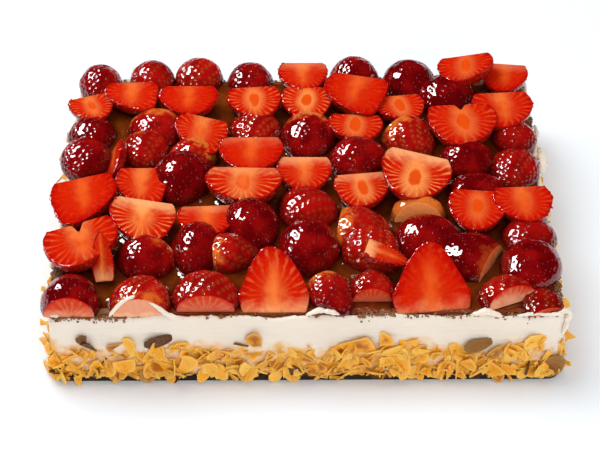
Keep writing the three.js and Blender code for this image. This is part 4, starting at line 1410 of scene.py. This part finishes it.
def crumbs_mesh(sizes):
    """Crumbs along the cream's rim, thickest where the knife scraped the sponge."""
    pick = random.Random(8)
    small = [crumb_template(seed, 1) for seed in range(4)]
    lumps = [crumb_template(seed, 2) for seed in range(4)]
    spots = []
    for side, low, high, count, fall in CRUMB_ZONES:
        spots += [(side_distance(side, pick.uniform(low, high)), fall) for _ in range(count)]
    spots += [(pick.uniform(0, EDGE_LENGTH), 0) for _ in range(STRAY_CRUMBS)]
    copies = []
    for distance, fall in spots:
        at, out = edge_point(distance)
        inwards = pick.triangular(-0.3, 4.5, 1.2)
        rim = coat_waves(distance)[1]
        drop = fall * pick.random() ** 2.5 if inwards < 0.8 else 0
        place = at - out * (inwards + 0.4)
        across = sizes.crumb_size / MM * pick.triangular(0.35, 1.9, 0.6)
        flat = pick.uniform(0.5, 1.0)
        turned = Matrix.Rotation(pick.uniform(0, 2 * pi), 4, Vector((pick.random(), pick.random(), 1)))
        size = Matrix.Diagonal((across, across * pick.uniform(0.6, 1.0), across * flat, 1))
        where = Matrix.Translation((place.x, place.y, TART_TOP + rim - drop + 0.1))
        shape = pick.choice(lumps if across > 1.6 else small)
        copies.append((shape, where @ turned @ size, (pick.random() ** 3, 0, 0)))
    return joined_copies("crumbs", copies)


# ---- Operators -----------------------------------------------------------------------


def dress_node(name, surface):
    """Gives a solid that shows as it is its material."""
    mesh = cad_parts[name].data
    mesh.materials.clear()
    mesh.materials.append(surface)


class TART_OT_slab(bpy.types.Operator):
    """Give the dark base and the sponge their materials"""

    bl_idname = "tart.slab"
    bl_label = "Slab"

    def execute(self, context):
        colours = context.scene.tart_colours
        dress_node("dark_base", biscuit_material(colours))
        dress_node("sponge_slab", sponge_material(colours))
        return {"FINISHED"}


class TART_OT_cream(bpy.types.Operator):
    """Spread the cream round the sides"""

    bl_idname = "tart.cream"
    bl_label = "Cream"

    def execute(self, context):
        surfaces = [cream_material(context.scene.tart_colours)]
        add_piece("cream", coat_mesh(context.scene.tart_sizes), "cream", surfaces, "cream_coat")
        add_piece("cream_ribbons", ribbons_mesh(), "cream", surfaces, "cream_coat")
        return {"FINISHED"}


class TART_OT_almonds(bpy.types.Operator):
    """Press the almond flakes into the cream"""

    bl_idname = "tart.almonds"
    bl_label = "Almond flakes"

    def execute(self, context):
        surfaces = [almond_material(context.scene.tart_colours)]
        shapes = flake_templates()
        kinds = {
            "almond_flakes_large": large_flakes(shapes) + front_flakes(shapes) + side_flakes(shapes),
            "almond_flakes_small": small_flakes(shapes, context.scene.tart_sizes.flake_count),
        }
        for name, copies in kinds.items():
            raised = [(shape, lifted(shape, matrix, TABLE_GAP), tone) for shape, matrix, tone in copies]
            add_piece(name, joined_copies(name, raised), "cream", surfaces, "cream_coat")
        return {"FINISHED"}


class TART_OT_strawberries(bpy.types.Operator):
    """Lay the halved strawberries in their columns"""

    bl_idname = "tart.strawberries"
    bl_label = "Strawberries"

    def execute(self, context):
        sizes, colours = context.scene.tart_sizes, context.scene.tart_colours
        makers = (skin_material, flesh_material, trim_material, seed_material)
        surfaces = [make(colours) for make in makers]
        for piece in berry_pieces():
            add_piece(piece["name"], berry_mesh(piece, sizes), "strawberry", surfaces, piece["node"])
        return {"FINISHED"}


class TART_OT_glaze(bpy.types.Operator):
    """Pour the glaze over the sponge between the strawberries"""

    bl_idname = "tart.glaze"
    bl_label = "Glaze"

    def execute(self, context):
        sizes, colours = context.scene.tart_sizes, context.scene.tart_colours
        fruit = [piece.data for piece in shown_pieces() if piece.name.startswith("berry_")]
        if not fruit:
            raise RuntimeError("lay the strawberries before the glaze")
        add_piece("glaze", glaze_mesh(fruit, sizes), "sponge", [glaze_material(colours)])
        bead = Surface("glaze_drop", **WET, coat_weight=1.0)
        bead.colour(colours.flesh_rim)
        add_piece("glaze_drops", drops_mesh(fruit), "strawberry", [bead.material])
        return {"FINISHED"}


class TART_OT_crumbs(bpy.types.Operator):
    """Scatter the crumbs along the rim"""

    bl_idname = "tart.crumbs"
    bl_label = "Crumbs"

    def execute(self, context):
        surfaces = [crumb_material(context.scene.tart_colours)]
        add_piece("crumbs", crumbs_mesh(context.scene.tart_sizes), "sponge", surfaces)
        return {"FINISHED"}


# The view: the camera looks at a point from a distance, in metres, turned and raised in degrees.
VIEW_TARGET = Vector((-0.00261, -0.01407, 0.030))
VIEW_DISTANCE = 1.0279
VIEW_TURN = -0.3772
VIEW_RAISE = 41.0
VIEW_LENS = 105.925
SENSOR_WIDTH = 36.0

FLOOR_REACH = 6.0
FLOOR_COLOUR = (0.89, 0.945, 1.0)
WORLD_STRENGTH = 0.56

# The lamps: (name, direction, distance, size, energy, lights gloss, lights the rest).
LAMPS = (
    ("key_softbox", (-0.40, 0.25, 0.88), 1.3, 0.9, 10.5, False, True),
    ("glint_softbox", (-0.62, 0.34, 0.70), 1.3, 0.54, 25.0, True, False),
    ("front_fill", (0.25, -1.0, 0.55), 1.8, 1.2, 10.4, False, True),
    ("side_fill", (1.0, -0.35, 0.45), 1.8, 1.0, 2.0, False, True),
    ("rim_card", (-0.9, -0.75, 0.28), 1.4, 0.24, 1.4, True, False),
)


def look_back(thing, away):
    """Turns a lamp or a camera to look against a direction."""
    thing.rotation_mode = "QUATERNION"
    thing.rotation_quaternion = away.to_track_quat("Z", "Y")
    bpy.context.scene.collection.objects.link(thing)


def add_light(name, direction, distance, size, energy, glossy, diffuse):
    """A square soft light that looks at the tart from a direction."""
    light = bpy.data.lights.new(name, "AREA")
    light.shape = "SQUARE"
    light.size = size
    light.energy = energy
    lamp = bpy.data.objects.new(name, light)
    away = Vector(direction).normalized()
    lamp.location = away * distance
    lamp.visible_glossy = glossy
    lamp.visible_diffuse = diffuse
    look_back(lamp, away)


class TART_OT_stage(bpy.types.Operator):
    """Set up the floor, the soft lights and the camera"""

    bl_idname = "tart.stage"
    bl_label = "Stage"

    def execute(self, context):
        scene = context.scene
        bm = bmesh.new()
        bmesh.ops.create_grid(bm, x_segments=1, y_segments=1, size=FLOOR_REACH)
        floor = bpy.data.objects.new("floor", mesh_of(bm, "floor"))
        scene.collection.objects.link(floor)
        pale = Surface("pale_floor", roughness=0.9, specular_ior_level=0.0)
        pale.colour(FLOOR_COLOUR)
        floor.data.materials.append(pale.material)
        floor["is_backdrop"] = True
        for lamp in LAMPS:
            add_light(*lamp)
        world = bpy.data.worlds.new("studio")
        scene.world = world
        world.use_nodes = True
        background = world.node_tree.nodes["Background"]
        background.inputs["Color"].default_value = (1.0, 1.0, 1.0, 1.0)
        background.inputs["Strength"].default_value = WORLD_STRENGTH
        world.cycles_visibility.glossy = False
        scene.view_settings.view_transform = "Standard"
        camera = bpy.data.objects.new("camera", bpy.data.cameras.new("camera"))
        camera.data.sensor_width = SENSOR_WIDTH
        camera.data.lens = VIEW_LENS
        turn, lift = radians(VIEW_TURN), radians(VIEW_RAISE)
        back = Vector((sin(turn) * cos(lift), -cos(turn) * cos(lift), sin(lift)))
        camera.location = VIEW_TARGET + back * VIEW_DISTANCE
        look_back(camera, back)
        scene.camera = camera
        return {"FINISHED"}


class TART_PT_panel(bpy.types.Panel):
    """The tart's operators and settings in the sidebar"""

    bl_idname = "TART_PT_panel"
    bl_label = "Strawberry tart"
    bl_space_type = "VIEW_3D"
    bl_region_type = "UI"
    bl_category = "Tart"

    def draw(self, context):
        layout = self.layout
        for operator in OPERATORS:
            layout.operator(operator.bl_idname)
        for group in (context.scene.tart_sizes, context.scene.tart_colours):
            box = layout.box()
            for name in group.__annotations__:
                box.prop(group, name)


OPERATORS = (
    TART_OT_slab,
    TART_OT_cream,
    TART_OT_almonds,
    TART_OT_strawberries,
    TART_OT_glaze,
    TART_OT_crumbs,
    TART_OT_stage,
)
CLASSES = (TartSizes, TartColours, *OPERATORS, TART_PT_panel)


def register():
    for cls in CLASSES:
        bpy.utils.register_class(cls)
    bpy.types.Scene.tart_sizes = PointerProperty(type=TartSizes)
    bpy.types.Scene.tart_colours = PointerProperty(type=TartColours)


def unregister():
    del bpy.types.Scene.tart_colours
    del bpy.types.Scene.tart_sizes
    for cls in reversed(CLASSES):
        bpy.utils.unregister_class(cls)


def main():
    register()
    bpy.ops.tart.slab()
    bpy.ops.tart.cream()
    bpy.ops.tart.almonds()
    bpy.ops.tart.strawberries()
    bpy.ops.tart.glaze()
    bpy.ops.tart.crumbs()
    bpy.ops.tart.stage()


if __name__ == "__main__":
    main()
